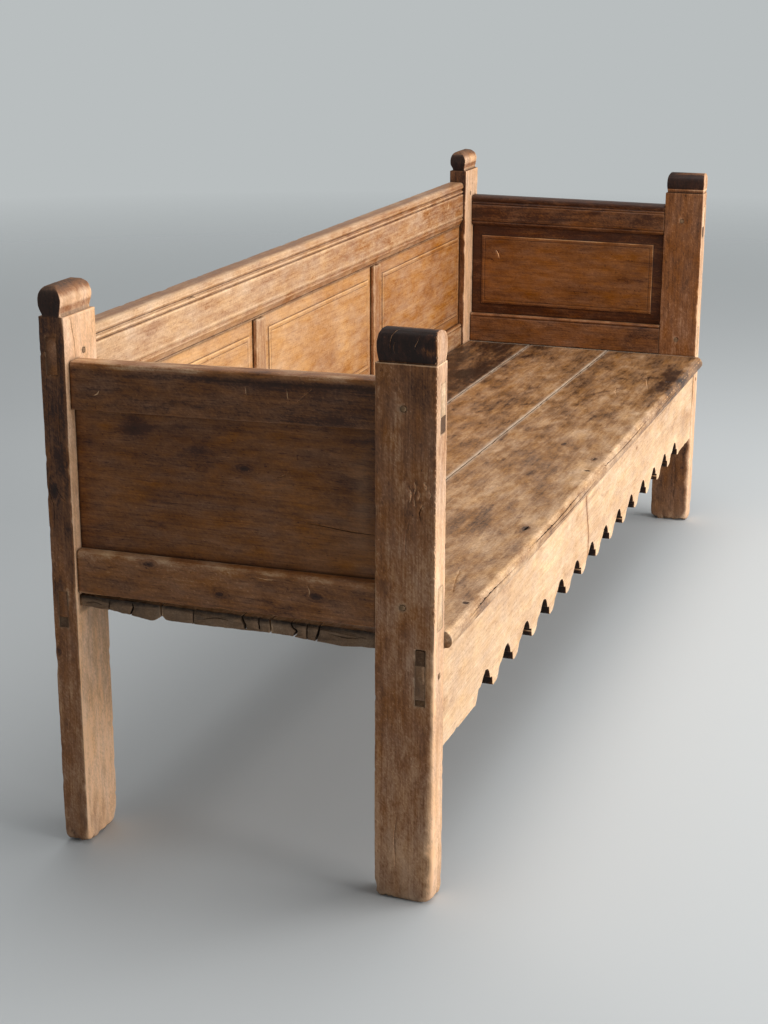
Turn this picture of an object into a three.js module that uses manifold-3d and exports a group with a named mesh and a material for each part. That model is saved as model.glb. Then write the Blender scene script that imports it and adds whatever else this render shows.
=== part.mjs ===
// A long joined bench with a fixed panelled back and panelled ends, made by hand in solid wood.
// Four posts rise above the rails and end in carved rolls. The rails run through the posts on
// tenons held by pegs and wedges, and the panels float in grooves. Three wide planks make the
// seat, carried by a scalloped apron and by cross bearers tenoned into the apron and the back.
//
// x runs along the bench from the left posts' outer faces, y runs back from the front posts'
// front faces, and z is the height above the floor, all in millimetres. The finished group is
// moved so that its origin lies under the middle of the whole bench.
import * as THREE from "three";
import { mergeVertices } from "three/addons/utils/BufferGeometryUtils.js";
import Module from "manifold-3d";

const wasm = await Module();
wasm.setup();

// The bench as a whole
const overallLength = 2247.8; // over the posts' outer faces
const overallDepth = 661.5; // front posts' front faces to back posts' back faces
const seatHeight = 451; // top of the seat planks; arms, back and apron keep their places to it
const clearance = 0.3; // between two pieces that meet
const overrun = 5; // how far a cut runs past the face that it opens
const weld = 1e-3; // vertices closer than this are one

// Front posts: a narrow face along the bench and a deep one front to back
const frontPostWidth = 51;
const frontPostDepth = 98.5;
const frontShoulderRiseLeft = 29; // where the left post narrows to its roll, above the arm
const frontShoulderRiseRight = 32;
const frontRollHeight = 49.5;

// Back posts: a wide face along the bench and a shallow one front to back
const backPostWidth = 105.3;
const backPostDepth = 45.9;
const backShoulderRiseLeft = 30.2; // above the crest rail
const backShoulderRiseRight = 28.5;
const backRollHeight = 50.5;
const footChamfer = 4; // worn lower edges of the posts

// Outlines of the rolls: shares of the post's size from its outer or front face, and of the
// roll's height
const frontRollShares = [
  [0.07, 0], [0.05, 0.12], [0, 0.42], [0, 0.7], [0.05, 0.88], [0.17, 0.98], [0.35, 1],
  [0.63, 0.99], [0.87, 0.9], [0.98, 0.72], [1, 0.5], [0.99, 0.28], [0.95, 0.1], [0.94, 0],
];
const frontRollEndShares = [
  [0.01, 0], [0, 0.3], [0, 0.65], [0.012, 0.88], [0.04, 1],
  [0.92, 1], [0.96, 0.82], [0.975, 0.6], [0.975, 0.35], [0.96, 0.12], [0.95, 0],
];
const backRollShares = [
  [0.14, 0], [0.15, 0.1], [0.1, 0.35], [0.08, 0.55], [0.18, 0.78], [0.37, 0.93], [0.58, 1],
  [0.79, 0.92], [0.92, 0.79], [0.985, 0.63], [1, 0.45], [0.985, 0.31], [0.92, 0.16],
  [0.87, 0.07], [0.86, 0],
];
const backRollEndShares = [
  [0.005, 0], [0, 0.3], [0, 0.6], [0.02, 0.8], [0.09, 0.93], [0.25, 0.99], [0.5, 1],
  [0.75, 0.99], [0.9, 0.93], [0.97, 0.8], [0.985, 0.6], [0.985, 0.35], [0.96, 0.12], [0.95, 0],
];

// Apron under the front of the seat; its lower edge falls towards the right end
const apronSetback = 2.5; // behind the posts' front faces
const apronThickness = 30;
const apronHeightLeft = 167.1; // at the left end
const apronHeightRight = 191.3;
const notchPitch = 129.1;
const firstNotch = 304; // middle of the first notch, from the left posts' outer faces
const lastNotchInset = 150; // least distance from the last notch's middle to the right post
const notchHeight = 40;
// A notch and the step beside it: shares of the pitch from its middle, shares of its height
const notchShares = [
  [-0.55, -0.05], [-0.496, 0.01], [-0.449, 0.15], [-0.418, 0.33], [-0.364, 0.46],
  [-0.294, 0.54], [-0.256, 0.63], [-0.209, 0.75], [-0.155, 0.89], [-0.093, 0.98], [-0.023, 1],
  [0.046, 0.93], [0.097, 0.78], [0.132, 0.6], [0.151, 0.44], [0.194, 0.39], [0.24, 0.38],
  [0.263, 0.26], [0.267, 0.08], [0.287, -0.05], [0.364, -0.09],
];
const apronTenonThickness = 15;
const apronTenonSetback = 16; // behind the posts' front faces
const apronTenonInset = 11.7; // its top below the apron's top edge
const apronTenonHeight = 57;
const lowerWedgeHeight = 10; // the mortise is longer than the tenon, for a wedge at each end
const upperWedgeHeight = 27;
const apronMortiseFlare = 4; // how much further it opens at the outer face, at each end
const openSlot = 2; // gap left over the upper wedge

// Seat planks
const plankThickness = 30;
const plankEndSetback = 8; // from the posts' outer faces to the planks' ends
const plankGap = 1.6; // open joint between two planks
const nosingOverhangLeft = 12; // front edge before the posts' front faces, at the left post
const nosingOverhangRight = 21;
const nosingDepth = 14; // how far back the front edge is rounded
// Shares of that depth and of the plank's thickness, from the top
const nosingShares = [
  [1, 0], [0.62, 0.06], [0.36, 0.17], [0.16, 0.3], [0.05, 0.45], [0, 0.65], [0.05, 0.8],
  [0.2, 0.91], [0.57, 1],
];
const frontJointLeft = 277; // joint between front and middle planks, at the left ends
const frontJointRight = 233;
const backJointLeft = 469; // joint between middle and back planks
const backJointRight = 446;

// Cross bearers under the planks
const bearerWidth = 50;
const bearerHeight = 42;
const bearerInset = 190; // middle of an outer bearer, from the posts' outer faces
const bearerTenonLength = 14;
const bearerTenonWidth = 26;
const bearerTenonHeight = 20;
const bearerTenonDrop = 3; // its top below the bearer's top

// Back frame: a crest rail, a bottom rail, two muntins and three fielded panels
const backFaceSetback = 6; // rails' faces behind the back posts' front faces
const backRailThickness = 38;
const crestRise = 40.5; // crest rail's top above the left arm
const crestHeight = 115.5;
const bottomRailRise = 56; // bottom rail's top above the seat
const bottomRailDrop = 28; // its underside below the planks
const muntinShares = [0.3532, 0.6562]; // middles, as shares of the bench's length
const muntinWidth = 45;
const muntinSetback = 1; // muntins' faces behind the rails' faces
const muntinTenonLength = 22;
const crestTenonSetback = 15.4; // behind the back posts' front faces
const crestTenonThickness = 19;
const crestTenonInset = 2.5; // its top below the rail's top
const crestTenonHeight = 60;
const bottomTenonSetback = 19.4;
const bottomTenonThickness = 15;
const bottomTenonInset = 51;
const bottomTenonHeight = 44;
const backWedgeHeight = 18; // the mortise is longer than the tenon, for a wedge under it
const backMortiseFlare = 4;

// Fielded panels of the back and of the ends
const grooveDepth = 10;
const panelPlay = 2; // side room for the wood to move
const panelRest = clearance; // room above and below
const panelTongue = 10; // thickness of a panel's edge in its groove
const backGrooveSetback = 11; // behind the rails' faces
const fieldStep = 2.5; // height of the step between bevel and field
const bevelRise = 3.5;
const panelMargin = 27; // from the frame to the field

// Arms: a moulded top rail, a plain bottom rail and a panel between front and back post
const armBottomRailLift = 4; // left bottom rail's underside above the seat; the right one rests
const armBottomRailHeightLeft = 74;
const armBottomRailHeightRight = 75.7;
const armOpeningLeft = 234; // from the bottom rail to the top rail, at the back post
const armOpeningRight = 237;
const armTopRailHeight = 79;
const armTopRailRiseLeft = 11; // how far the top rail climbs towards the front
const armTopRailRiseRight = -3;
const armBottomRailRiseLeft = 5;
const armBottomRailRiseRight = 0;
const armTopRailOuter = 11; // outer face, from the posts' outer faces
const armBottomRailOuter = 5.5;
const armPanelInner = 16; // face of the panel's edges, from the posts' inner faces
const armTenonThickness = 22;
const armTopTenonInner = 8; // inner face of the tenon, from the posts' inner faces
const armBottomTenonInner = 11;
const armTenonEdge = 3; // tenons inside the rails' heights, at their worked edges
const tenonParting = 2.4; // between an arm's tenon and the back rail's tenon behind it
const armWedgeHeight = 26; // wedge under the top rail's front tenon, at the front
const armWedgeFlare = 6; // how much lower it is at its thin end

// Mouldings scratched into a face: shares of their depth and of their height, from the top
const crestEdgeShares = [
  [1, 0], [0.4, 0.06], [0.1, 0.19], [0, 0.36], [0.12, 0.5], [0.33, 0.57], [0.33, 0.64],
  [0.15, 0.69], [0.05, 0.77], [0.15, 0.85], [0.31, 0.89], [0.31, 0.93], [0, 1],
];
const crestEdgeDepth = 10;
const crestEdgeHeight = 32;
const crestFootShares = [
  [0, 0], [0.28, 0.06], [0.1, 0.18], [0.1, 0.3], [0.35, 0.42], [0.75, 0.7], [1, 0.88], [1, 1],
];
const crestFootDepth = 8.5;
const crestFootHeight = 25;
const armEdgeShares = [
  [1, 0], [0.5, 0.04], [0.15, 0.16], [0, 0.36], [0.1, 0.54], [0.3, 0.6], [0.3, 0.7],
  [0.12, 0.76], [0.12, 0.88], [0.25, 0.93], [0, 1],
];
const armEdgeDepth = 10;
const armEdgeHeight = 25;
const armFootShares = [[0, 0], [0.4, 0.1], [0.1, 0.35], [0.2, 0.6], [0.9, 0.9], [1, 1]];
const armFootDepth = 7;
const armFootHeight = 13;
const railBeadShares = [
  [1, 0], [0.35, 0.08], [0.05, 0.25], [0.05, 0.4], [0.45, 0.5], [0.45, 0.62], [0.1, 0.75], [0, 1],
];
const railBeadDepth = 6;
const railBeadHeight = 15;
const outerEdgeShares = [[0, 1], [0.3, 0.3], [1, 0]];
const outerEdge = 6; // worn outer top edge of an arm's rails

// Pegs and nails
const pegRadius = 4.6;
const pegSides = 10;
const pegProud = 0.8; // how far a peg stands out of a front post
const armPegSetback = 53; // pegs of the arms' front tenons, behind the posts' front faces
const armTopPegRise = 13.7; // above the underside of the tenon that it holds
const armBottomPegRise = 38;
const apronPegRise = 34;
const apronPegLength = 40;
const backPegInset = 62; // pegs of the back rails' tenons, from the posts' outer faces
const nailRadius = 2.2;
const nailHeadRadius = 4.5;
const nailHeadHeight = 1.6;
const nailHeadSink = 0.4; // head below the wood's face
const nailLength = 48;
const nailPointShare = 0.2; // share of its length that tapers to the point
const nailTipShare = 0.3; // share of its radius at the point
const nailSides = 8;
const seatNailSetback = 9; // behind the posts' front faces
const seatNailShares = [0.0845, 0.4582, 0.8382]; // along the bench

// Sizes that follow from these
const plankBottom = seatHeight - plankThickness;
const apronTop = plankBottom - clearance;
const apronBack = apronSetback + apronThickness;
const apronTenonTop = apronTop - apronTenonInset;
const apronTenonBottom = apronTenonTop - apronTenonHeight;
const backPostFront = overallDepth - backPostDepth;
const backFace = backPostFront + backFaceSetback;
const railBack = backFace + backRailThickness;
const grooveFront = backFace + backGrooveSetback;
const bottomRailTop = seatHeight + bottomRailRise;
const bottomRailBottom = plankBottom - bottomRailDrop;
const bottomTenonTop = bottomRailTop - bottomTenonInset;
const bottomTenonBottom = bottomTenonTop - bottomTenonHeight;
const armPanelOuter = frontPostWidth - armPanelInner - panelTongue;

// Heights of an arm's two rails at the back post, and how far each climbs towards the front
function armHeights(lift, bottomRailHeight, opening, bottomRise, topRise) {
  const low = seatHeight + lift;
  const sill = low + bottomRailHeight;
  const head = sill + opening;
  return {
    bottomRail: { bottom: low, top: sill, rise: bottomRise },
    topRail: { bottom: head, top: head + armTopRailHeight, rise: topRise },
  };
}

const leftArm = armHeights(
  armBottomRailLift, armBottomRailHeightLeft, armOpeningLeft, armBottomRailRiseLeft,
  armTopRailRiseLeft,
);
const rightArm = armHeights(
  clearance, armBottomRailHeightRight, armOpeningRight, armBottomRailRiseRight,
  armTopRailRiseRight,
);
const crestTop = leftArm.topRail.top + crestRise;
const crestBottom = crestTop - crestHeight;
const crestTenonTop = crestTop - crestTenonInset;
const crestTenonBottom = crestTenonTop - crestTenonHeight;

const ends = [
  {
    name: "left",
    at: (inward) => inward,
    ...leftArm,
    frontShoulder: leftArm.topRail.top + leftArm.topRail.rise + frontShoulderRiseLeft,
    backShoulder: crestTop + backShoulderRiseLeft,
  },
  {
    name: "right",
    at: (inward) => overallLength - inward,
    ...rightArm,
    frontShoulder: rightArm.topRail.top + rightArm.topRail.rise + frontShoulderRiseRight,
    backShoulder: crestTop + backShoulderRiseRight,
  },
];

const finish = (color, roughness, metalness = 0) =>
  new THREE.MeshStandardMaterial({ color, roughness, metalness });
const materials = {
  post: () => finish("#8a5a35", 0.6),
  rail: () => finish("#9a6238", 0.55),
  panel: () => finish("#a86c3c", 0.5),
  seat: () => finish("#a5744a", 0.5),
  bearer: () => finish("#7d5a3c", 0.8),
  peg: () => finish("#6b452b", 0.7),
  iron: () => finish("#3a3230", 0.7, 0.8),
};

// A closed geometry as a solid that can be joined and cut
function solid(geometry) {
  const loose = geometry.index ? geometry.toNonIndexed() : geometry;
  const bare = new THREE.BufferGeometry().setAttribute("position", loose.getAttribute("position"));
  const merged = mergeVertices(bare, weld);
  return new wasm.Manifold(
    new wasm.Mesh({
      numProp: 3,
      vertProperties: merged.getAttribute("position").array,
      triVerts: Uint32Array.from(merged.index.array),
    }),
  );
}

const join = (...solids) => solids.reduce((a, b) => a.add(b));
const cut = (first, ...others) => others.reduce((a, b) => a.subtract(b), first);

// A box given by its ranges, such as { x: [0, 10], y: [0, 10], z: [0, 10] }
function blockGeometry({ x, y, z }) {
  const size = [x, y, z].map(([a, b]) => Math.abs(b - a));
  const middle = [x, y, z].map(([a, b]) => (a + b) / 2);
  return new THREE.BoxGeometry(...size).translate(...middle);
}

const block = (box) => solid(blockGeometry(box));

// The hole for a box: roomier all round by the clearance, or by what is given for an axis
function room(box, more = {}) {
  const wider = {};
  for (const axis of ["x", "y", "z"]) {
    const extra = more[axis] ?? clearance;
    wider[axis] = [Math.min(...box[axis]) - extra, Math.max(...box[axis]) + extra];
  }
  return wider;
}

function extruded(points, from, to) {
  const shape = new THREE.Shape(points.map(([u, v]) => new THREE.Vector2(u, v)));
  return new THREE.ExtrudeGeometry(shape, { depth: Math.abs(to - from), bevelEnabled: false });
}

// Prisms of an outline: [y, z] points run along x, [x, z] points along y, [x, y] points along z
const alongX = (points, from, to) =>
  extruded(points, from, to)
    .rotateY(Math.PI / 2)
    .rotateX(Math.PI / 2)
    .translate(Math.min(from, to), 0, 0);
const alongY = (points, from, to) =>
  extruded(points, from, to).rotateX(Math.PI / 2).translate(0, Math.max(from, to), 0);
const alongZ = (points, from, to) => extruded(points, from, to).translate(0, 0, Math.min(from, to));

// Moves each vertex by a rule, for edges that run askew
function shifted(geometry, rule) {
  const position = geometry.getAttribute("position");
  const point = new THREE.Vector3();
  for (let i = 0; i < position.count; i++) {
    rule(point.fromBufferAttribute(position, i));
    position.setXYZ(i, point.x, point.y, point.z);
  }
  return geometry;
}

const between = (start, end, share) => start + (end - start) * share;

// Points of a moulding from its top edge down; place turns a depth behind the face into a
// coordinate
const moulding = (shares, place, depth, top, height) =>
  shares.map(([behind, down]) => [place(behind * depth), top - down * height]);

const bench = new THREE.Group();
bench.name = "bench";

function addMesh(name, made, material) {
  const { vertProperties, triVerts } = made.getMesh();
  const geometry = new THREE.BufferGeometry()
    .setAttribute("position", new THREE.BufferAttribute(new Float32Array(vertProperties), 3))
    .setIndex(new THREE.BufferAttribute(new Uint32Array(triVerts), 1));
  geometry.computeVertexNormals();
  const mesh = new THREE.Mesh(geometry, material());
  mesh.name = name;
  bench.add(mesh);
}

// Tenons, as boxes shared by the rail and the hole in the post
const apronTenon = (end) => ({
  x: [end.at(clearance), end.at(frontPostWidth + overrun)],
  y: [apronTenonSetback, apronTenonSetback + apronTenonThickness],
  z: [apronTenonBottom, apronTenonTop],
});

const crestTenon = (end) => ({
  x: [end.at(clearance), end.at(backPostWidth + overrun)],
  y: [backPostFront + crestTenonSetback, backPostFront + crestTenonSetback + crestTenonThickness],
  z: [crestTenonBottom, crestTenonTop],
});

const bottomTenon = (end) => ({
  x: [end.at(clearance), end.at(backPostWidth + overrun)],
  y: [backPostFront + bottomTenonSetback, backPostFront + bottomTenonSetback + bottomTenonThickness],
  z: [bottomTenonBottom, bottomTenonTop],
});

const armTenonWidth = (end, inner) => [
  end.at(frontPostWidth - inner - armTenonThickness),
  end.at(frontPostWidth - inner),
];

const armTopFrontTenon = (end) => ({
  x: armTenonWidth(end, armTopTenonInner),
  y: [clearance, frontPostDepth + overrun],
  z: [
    end.topRail.bottom + end.topRail.rise + armWedgeHeight + clearance,
    end.topRail.top + end.topRail.rise - armTenonEdge,
  ],
});

const armBottomFrontTenon = (end) => ({
  x: armTenonWidth(end, armBottomTenonInner),
  y: [clearance, frontPostDepth + overrun],
  z: [
    end.bottomRail.bottom + end.bottomRail.rise + armTenonEdge,
    end.bottomRail.top + end.bottomRail.rise - armTenonEdge,
  ],
});

// The arms' back tenons stop short of the tenons that cross the back posts behind them
const armTopBackTenon = (end) => ({
  x: armTenonWidth(end, armTopTenonInner),
  y: [backPostFront - overrun, backPostFront + crestTenonSetback - tenonParting],
  z: [end.topRail.bottom + armFootHeight, end.topRail.top - armTenonEdge],
});

const armBottomBackTenon = (end) => ({
  x: armTenonWidth(end, armBottomTenonInner),
  y: [backPostFront - overrun, backPostFront + bottomTenonSetback - tenonParting],
  z: [end.bottomRail.bottom + armTenonEdge, end.bottomRail.top - armTenonEdge],
});

// A prism through a post along x, between two heights that change on the way
function through(end, [from, to], y, low, high) {
  const points = [
    [end.at(from), low(from)], [end.at(to), low(to)], [end.at(to), high(to)],
    [end.at(from), high(from)],
  ];
  return solid(alongY(points, ...y));
}

// Height of a flared mortise's end at a distance from the face that it opens on
const flare = (inward, size, atFace, change) => atFace + (change * inward) / size;
const apronMortiseLow = (inward) =>
  flare(inward, frontPostWidth, apronTenonBottom - lowerWedgeHeight, apronMortiseFlare);
const apronMortiseHigh = (inward) =>
  flare(inward, frontPostWidth, apronTenonTop + upperWedgeHeight, -apronMortiseFlare);
const backMortiseLow = (inward) =>
  flare(inward, backPostWidth, bottomTenonBottom - backWedgeHeight, backMortiseFlare);

// Pegs and the wood round them. A peg runs from its head outside to its end in the wood.
function bar({ axis, from, to, at: [first, second] }, radius, head, foot) {
  const outward = Math.sign(from - to);
  const [start, stop] = [from + outward * head, to - outward * foot];
  const round = new THREE.CylinderGeometry(radius, radius, Math.abs(stop - start), pegSides);
  const middle = (start + stop) / 2;
  if (axis === "x") return solid(round.rotateZ(Math.PI / 2).translate(middle, first, second));
  return solid(round.translate(first, middle, second));
}

const peg = (place) => bar(place, pegRadius, 0, 0);
const pegHole = (place) => bar(place, pegRadius + clearance, overrun, clearance);

function pegPlaces(end) {
  const throughArm = (height) => ({
    axis: "x",
    from: end.at(-pegProud),
    to: end.at(frontPostWidth - clearance),
    at: [armPegSetback, height],
  });
  const fromBehind = (height) => ({
    axis: "y",
    from: overallDepth,
    to: backPostFront + clearance,
    at: [end.at(backPegInset), height],
  });
  return {
    arm_top: throughArm(armTopFrontTenon(end).z[0] + armTopPegRise),
    arm_bottom: throughArm(armBottomFrontTenon(end).z[0] + armBottomPegRise),
    apron: {
      axis: "y",
      from: -pegProud,
      to: apronPegLength - pegProud,
      at: [end.at(frontPostWidth / 2), apronTenonBottom + apronPegRise],
    },
    crest: fromBehind((crestTenonBottom + crestTenonTop) / 2),
    bottom_rail: fromBehind((bottomTenonBottom + bottomTenonTop) / 2),
  };
}

// A nail driven down into the seat, as wide as it is plus the room given
function nail(x, y, extra) {
  const shank = nailRadius + extra;
  const head = nailHeadRadius + extra;
  const headTop = extra ? nailHeadSink + overrun : 0;
  const profile = [
    [0, -nailLength - extra],
    [shank * nailTipShare, -nailLength - extra],
    [shank, -nailLength * (1 - nailPointShare)],
    [shank, -nailHeadHeight - extra],
    [head, -nailHeadHeight - extra],
    [head, headTop],
    [0, headTop],
  ].map(([radius, height]) => new THREE.Vector2(radius, height));
  const turned = new THREE.LatheGeometry(profile, nailSides).rotateX(Math.PI / 2);
  return solid(turned.translate(x, y, seatHeight - nailHeadSink));
}

// Outline of a post with a chamfered foot, square up to its shoulder and ending in a roll
function postOutline(at, size, shoulder, rollShares, rollHeight) {
  return [
    [at(footChamfer), 0],
    [at(0), footChamfer],
    [at(0), shoulder],
    ...rollShares.map(([across, up]) => [at(across * size), shoulder + up * rollHeight]),
    [at(size), shoulder],
    [at(size), footChamfer],
    [at(size - footChamfer), 0],
  ];
}

// Room for an arm's panel in a post; climbed is the share of the arm's rise that is made by there
const armPanelGroove = (end, y, climbed) =>
  block({
    x: [end.at(armPanelOuter - clearance), end.at(armPanelOuter + panelTongue + clearance)],
    y,
    z: [
      end.bottomRail.top + climbed * end.bottomRail.rise - grooveDepth - clearance,
      end.topRail.bottom + climbed * end.topRail.rise + grooveDepth + clearance,
    ],
  });

// Where an arm's top rail has its wedge: [y, z] points of the mortise below the front tenon
function armWedgeOutline(end, from, to, gap) {
  const top = armTopFrontTenon(end).z[0] - gap;
  const low = (y) => flare(y, frontPostDepth, top - armWedgeHeight + gap, armWedgeFlare) + gap;
  return [[from, low(from)], [to, low(to)], [to, top], [from, top]];
}

function addFrontPost(end, pegs) {
  const acrossBench = postOutline(
    end.at, frontPostWidth, end.frontShoulder, frontRollShares, frontRollHeight,
  );
  const frontToBack = postOutline(
    (y) => y, frontPostDepth, end.frontShoulder, frontRollEndShares, frontRollHeight,
  );
  const body = solid(alongY(acrossBench, 0, frontPostDepth)).intersect(
    solid(alongX(frontToBack, end.at(0), end.at(frontPostWidth))),
  );
  const apronMortise = through(
    end, [-overrun, frontPostWidth + overrun], room(apronTenon(end)).y, apronMortiseLow,
    apronMortiseHigh,
  );
  const wedgeMortise = alongX(
    armWedgeOutline(end, -overrun, frontPostDepth + overrun, 0),
    ...room(armTopFrontTenon(end)).x,
  );
  const made = cut(
    body,
    apronMortise,
    block(room(armTopFrontTenon(end), { y: overrun })),
    solid(wedgeMortise),
    block(room(armBottomFrontTenon(end), { y: overrun })),
    armPanelGroove(end, [frontPostDepth - grooveDepth, frontPostDepth + overrun], 1),
    pegHole(pegs.arm_top),
    pegHole(pegs.arm_bottom),
    pegHole(pegs.apron),
  );
  addMesh(`post_front_${end.name}`, made, materials.post);
}

function addBackPost(end, pegs) {
  const acrossBench = postOutline(
    end.at, backPostWidth, end.backShoulder, backRollEndShares, backRollHeight,
  );
  const frontToBack = postOutline(
    (y) => backPostFront + y, backPostDepth, end.backShoulder, backRollShares, backRollHeight,
  );
  const body = solid(alongY(acrossBench, backPostFront, overallDepth)).intersect(
    solid(alongX(frontToBack, end.at(0), end.at(backPostWidth))),
  );
  const bottomMortise = through(
    end, [-overrun, backPostWidth + overrun], room(bottomTenon(end)).y, backMortiseLow,
    () => bottomTenonTop + clearance,
  );
  const backPanelGroove = block({
    x: [end.at(backPostWidth - grooveDepth), end.at(backPostWidth + overrun)],
    y: [grooveFront - clearance, grooveFront + panelTongue + clearance],
    z: [bottomRailTop - grooveDepth - clearance, crestBottom + grooveDepth + clearance],
  });
  const made = cut(
    body,
    block(room(crestTenon(end), { x: overrun })),
    bottomMortise,
    block(room(armTopBackTenon(end))),
    block(room(armBottomBackTenon(end))),
    backPanelGroove,
    armPanelGroove(end, [backPostFront - overrun, backPostFront + grooveDepth], 0),
    pegHole(pegs.crest),
    pegHole(pegs.bottom_rail),
  );
  addMesh(`post_back_${end.name}`, made, materials.post);
}

// Wedges driven in from outside, beside the through tenons
function addWedges(end) {
  const frontRun = [clearance, frontPostWidth - clearance];
  const { y } = apronTenon(end);
  const under = through(
    end, frontRun, y, (inward) => apronMortiseLow(inward) + clearance,
    () => apronTenonBottom - clearance,
  );
  const over = through(
    end, frontRun, y, () => apronTenonTop + clearance,
    (inward) => apronMortiseHigh(inward) - openSlot,
  );
  addMesh(`apron_wedge_lower_${end.name}`, under, materials.peg);
  addMesh(`apron_wedge_upper_${end.name}`, over, materials.peg);

  const armWedgeEnd = frontPostDepth - grooveDepth - clearance; // clear of the panel's edge
  const armPoints = armWedgeOutline(end, clearance, armWedgeEnd, clearance);
  const armWedge = solid(alongX(armPoints, ...armTopFrontTenon(end).x));
  addMesh(`arm_wedge_${end.name}`, armWedge, materials.peg);

  const backWedge = through(
    end, [clearance, backPostWidth - clearance], bottomTenon(end).y,
    (inward) => backMortiseLow(inward) + clearance, () => bottomTenonBottom - clearance,
  );
  addMesh(`back_wedge_${end.name}`, backWedge, materials.peg);
}

// An arm's rails climb towards the front by their rise over the arm's length
const climb = (rise) => (point) => {
  point.z += (rise * (backPostFront - point.y)) / (backPostFront - frontPostDepth);
};

function addArm(end, pegs) {
  const { topRail, bottomRail } = end;
  const run = [frontPostDepth + clearance, backPostFront - clearance];
  const grooveRun = [frontPostDepth - grooveDepth, backPostFront + grooveDepth]; // through tenons
  const inside = (behind) => end.at(frontPostWidth - behind);
  const outside = (face) => (behind) => end.at(face + behind);
  const tongue = [
    end.at(armPanelOuter - clearance),
    end.at(armPanelOuter + panelTongue + clearance),
  ];

  const topOutline = [
    [end.at(armTopRailOuter), topRail.bottom],
    ...moulding(outerEdgeShares, outside(armTopRailOuter), outerEdge, topRail.top, outerEdge),
    ...moulding(armEdgeShares, inside, armEdgeDepth, topRail.top, armEdgeHeight),
    ...moulding(armFootShares, inside, armFootDepth, topRail.bottom + armFootHeight, armFootHeight),
  ];
  const topGroove = {
    x: tongue,
    y: grooveRun,
    z: [topRail.bottom - overrun, topRail.bottom + grooveDepth],
  };
  const top = cut(
    join(
      solid(shifted(alongY(topOutline, ...run), climb(topRail.rise))),
      block(armTopFrontTenon(end)),
      block(armTopBackTenon(end)),
    ),
    solid(shifted(blockGeometry(topGroove), climb(topRail.rise))),
    pegHole(pegs.arm_top),
  );
  addMesh(`arm_top_rail_${end.name}`, top, materials.rail);

  const bottomOutline = [
    [end.at(armBottomRailOuter), bottomRail.bottom],
    ...moulding(outerEdgeShares, outside(armBottomRailOuter), outerEdge, bottomRail.top, outerEdge),
    ...moulding(railBeadShares, inside, railBeadDepth, bottomRail.top, railBeadHeight),
    [inside(0), bottomRail.bottom],
  ];
  const bottomGroove = {
    x: tongue,
    y: grooveRun,
    z: [bottomRail.top - grooveDepth, bottomRail.top + overrun],
  };
  const bottom = cut(
    join(
      solid(shifted(alongY(bottomOutline, ...run), climb(bottomRail.rise))),
      block(armBottomFrontTenon(end)),
      block(armBottomBackTenon(end)),
    ),
    solid(shifted(blockGeometry(bottomGroove), climb(bottomRail.rise))),
    pegHole(pegs.arm_bottom),
  );
  addMesh(`arm_bottom_rail_${end.name}`, bottom, materials.rail);

  const opening = { low: bottomRail.top, high: topRail.bottom };
  const width = { low: frontPostDepth, high: backPostFront };
  const follow = (point) => {
    const share = (point.z - opening.low) / (opening.high - opening.low);
    climb(between(bottomRail.rise, topRail.rise, share))(point);
  };
  const place = (ahead) => end.at(armPanelOuter + panelTongue + ahead);
  const upright = panelOutline(opening, place, panelRest).map(([z, x]) => [x, z]);
  const level = panelOutline(width, place, panelPlay).map(([y, x]) => [x, y]);
  const panel = solid(shifted(alongY(upright, ...panelSpan(width, panelPlay)), follow)).intersect(
    solid(shifted(alongZ(level, ...panelSpan(opening, panelRest)), follow)),
  );
  addMesh(`arm_panel_${end.name}`, panel, materials.panel);
}

// A panel's edges reach into grooves all round an opening: its full span, and its cross-section
// as [along, ahead] points, where ahead is measured from the face of its edges
const panelSpan = ({ low, high }, play) => [low - grooveDepth + play, high + grooveDepth - play];

function panelOutline(opening, place, play) {
  const [low, high] = panelSpan(opening, play);
  const back = place(-panelTongue);
  return [
    [low, back],
    [low, place(0)],
    [opening.low, place(0)],
    [opening.low + panelMargin, place(bevelRise)],
    [opening.low + panelMargin, place(bevelRise + fieldStep)],
    [opening.high - panelMargin, place(bevelRise + fieldStep)],
    [opening.high - panelMargin, place(bevelRise)],
    [opening.high, place(0)],
    [high, place(0)],
    [high, back],
  ];
}

const [muntinLeft, muntinRight] = muntinShares.map((share) => share * overallLength);
const muntins = { left: muntinLeft, right: muntinRight };

// Stub tenons of a muntin, in line with the panels' grooves
const muntinTenon = (middle, z) => ({
  x: [middle - muntinWidth / 2 + grooveDepth, middle + muntinWidth / 2 - grooveDepth],
  y: [grooveFront, grooveFront + panelTongue],
  z,
});
const muntinTopTenon = (middle) =>
  muntinTenon(middle, [crestBottom - overrun, crestBottom + muntinTenonLength]);
const muntinFootTenon = (middle) =>
  muntinTenon(middle, [bottomRailTop - muntinTenonLength, bottomRailTop + overrun]);

const bearers = {
  left: bearerInset,
  middle: overallLength / 2,
  right: overallLength - bearerInset,
};
const bearerTop = plankBottom - clearance;
const bearerTenon = (middle, y) => ({
  x: [middle - bearerTenonWidth / 2, middle + bearerTenonWidth / 2],
  y,
  z: [bearerTop - bearerTenonDrop - bearerTenonHeight, bearerTop - bearerTenonDrop],
});
const bearerFrontTenon = (middle) =>
  bearerTenon(middle, [apronBack - bearerTenonLength, apronBack + overrun]);
const bearerBackTenon = (middle) =>
  bearerTenon(middle, [backFace - overrun, backFace + bearerTenonLength]);

// A groove for the back panels, over the ranges given
const backGroove = (x, z) =>
  block({ x, y: [grooveFront - clearance, grooveFront + panelTongue + clearance], z });

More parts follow.
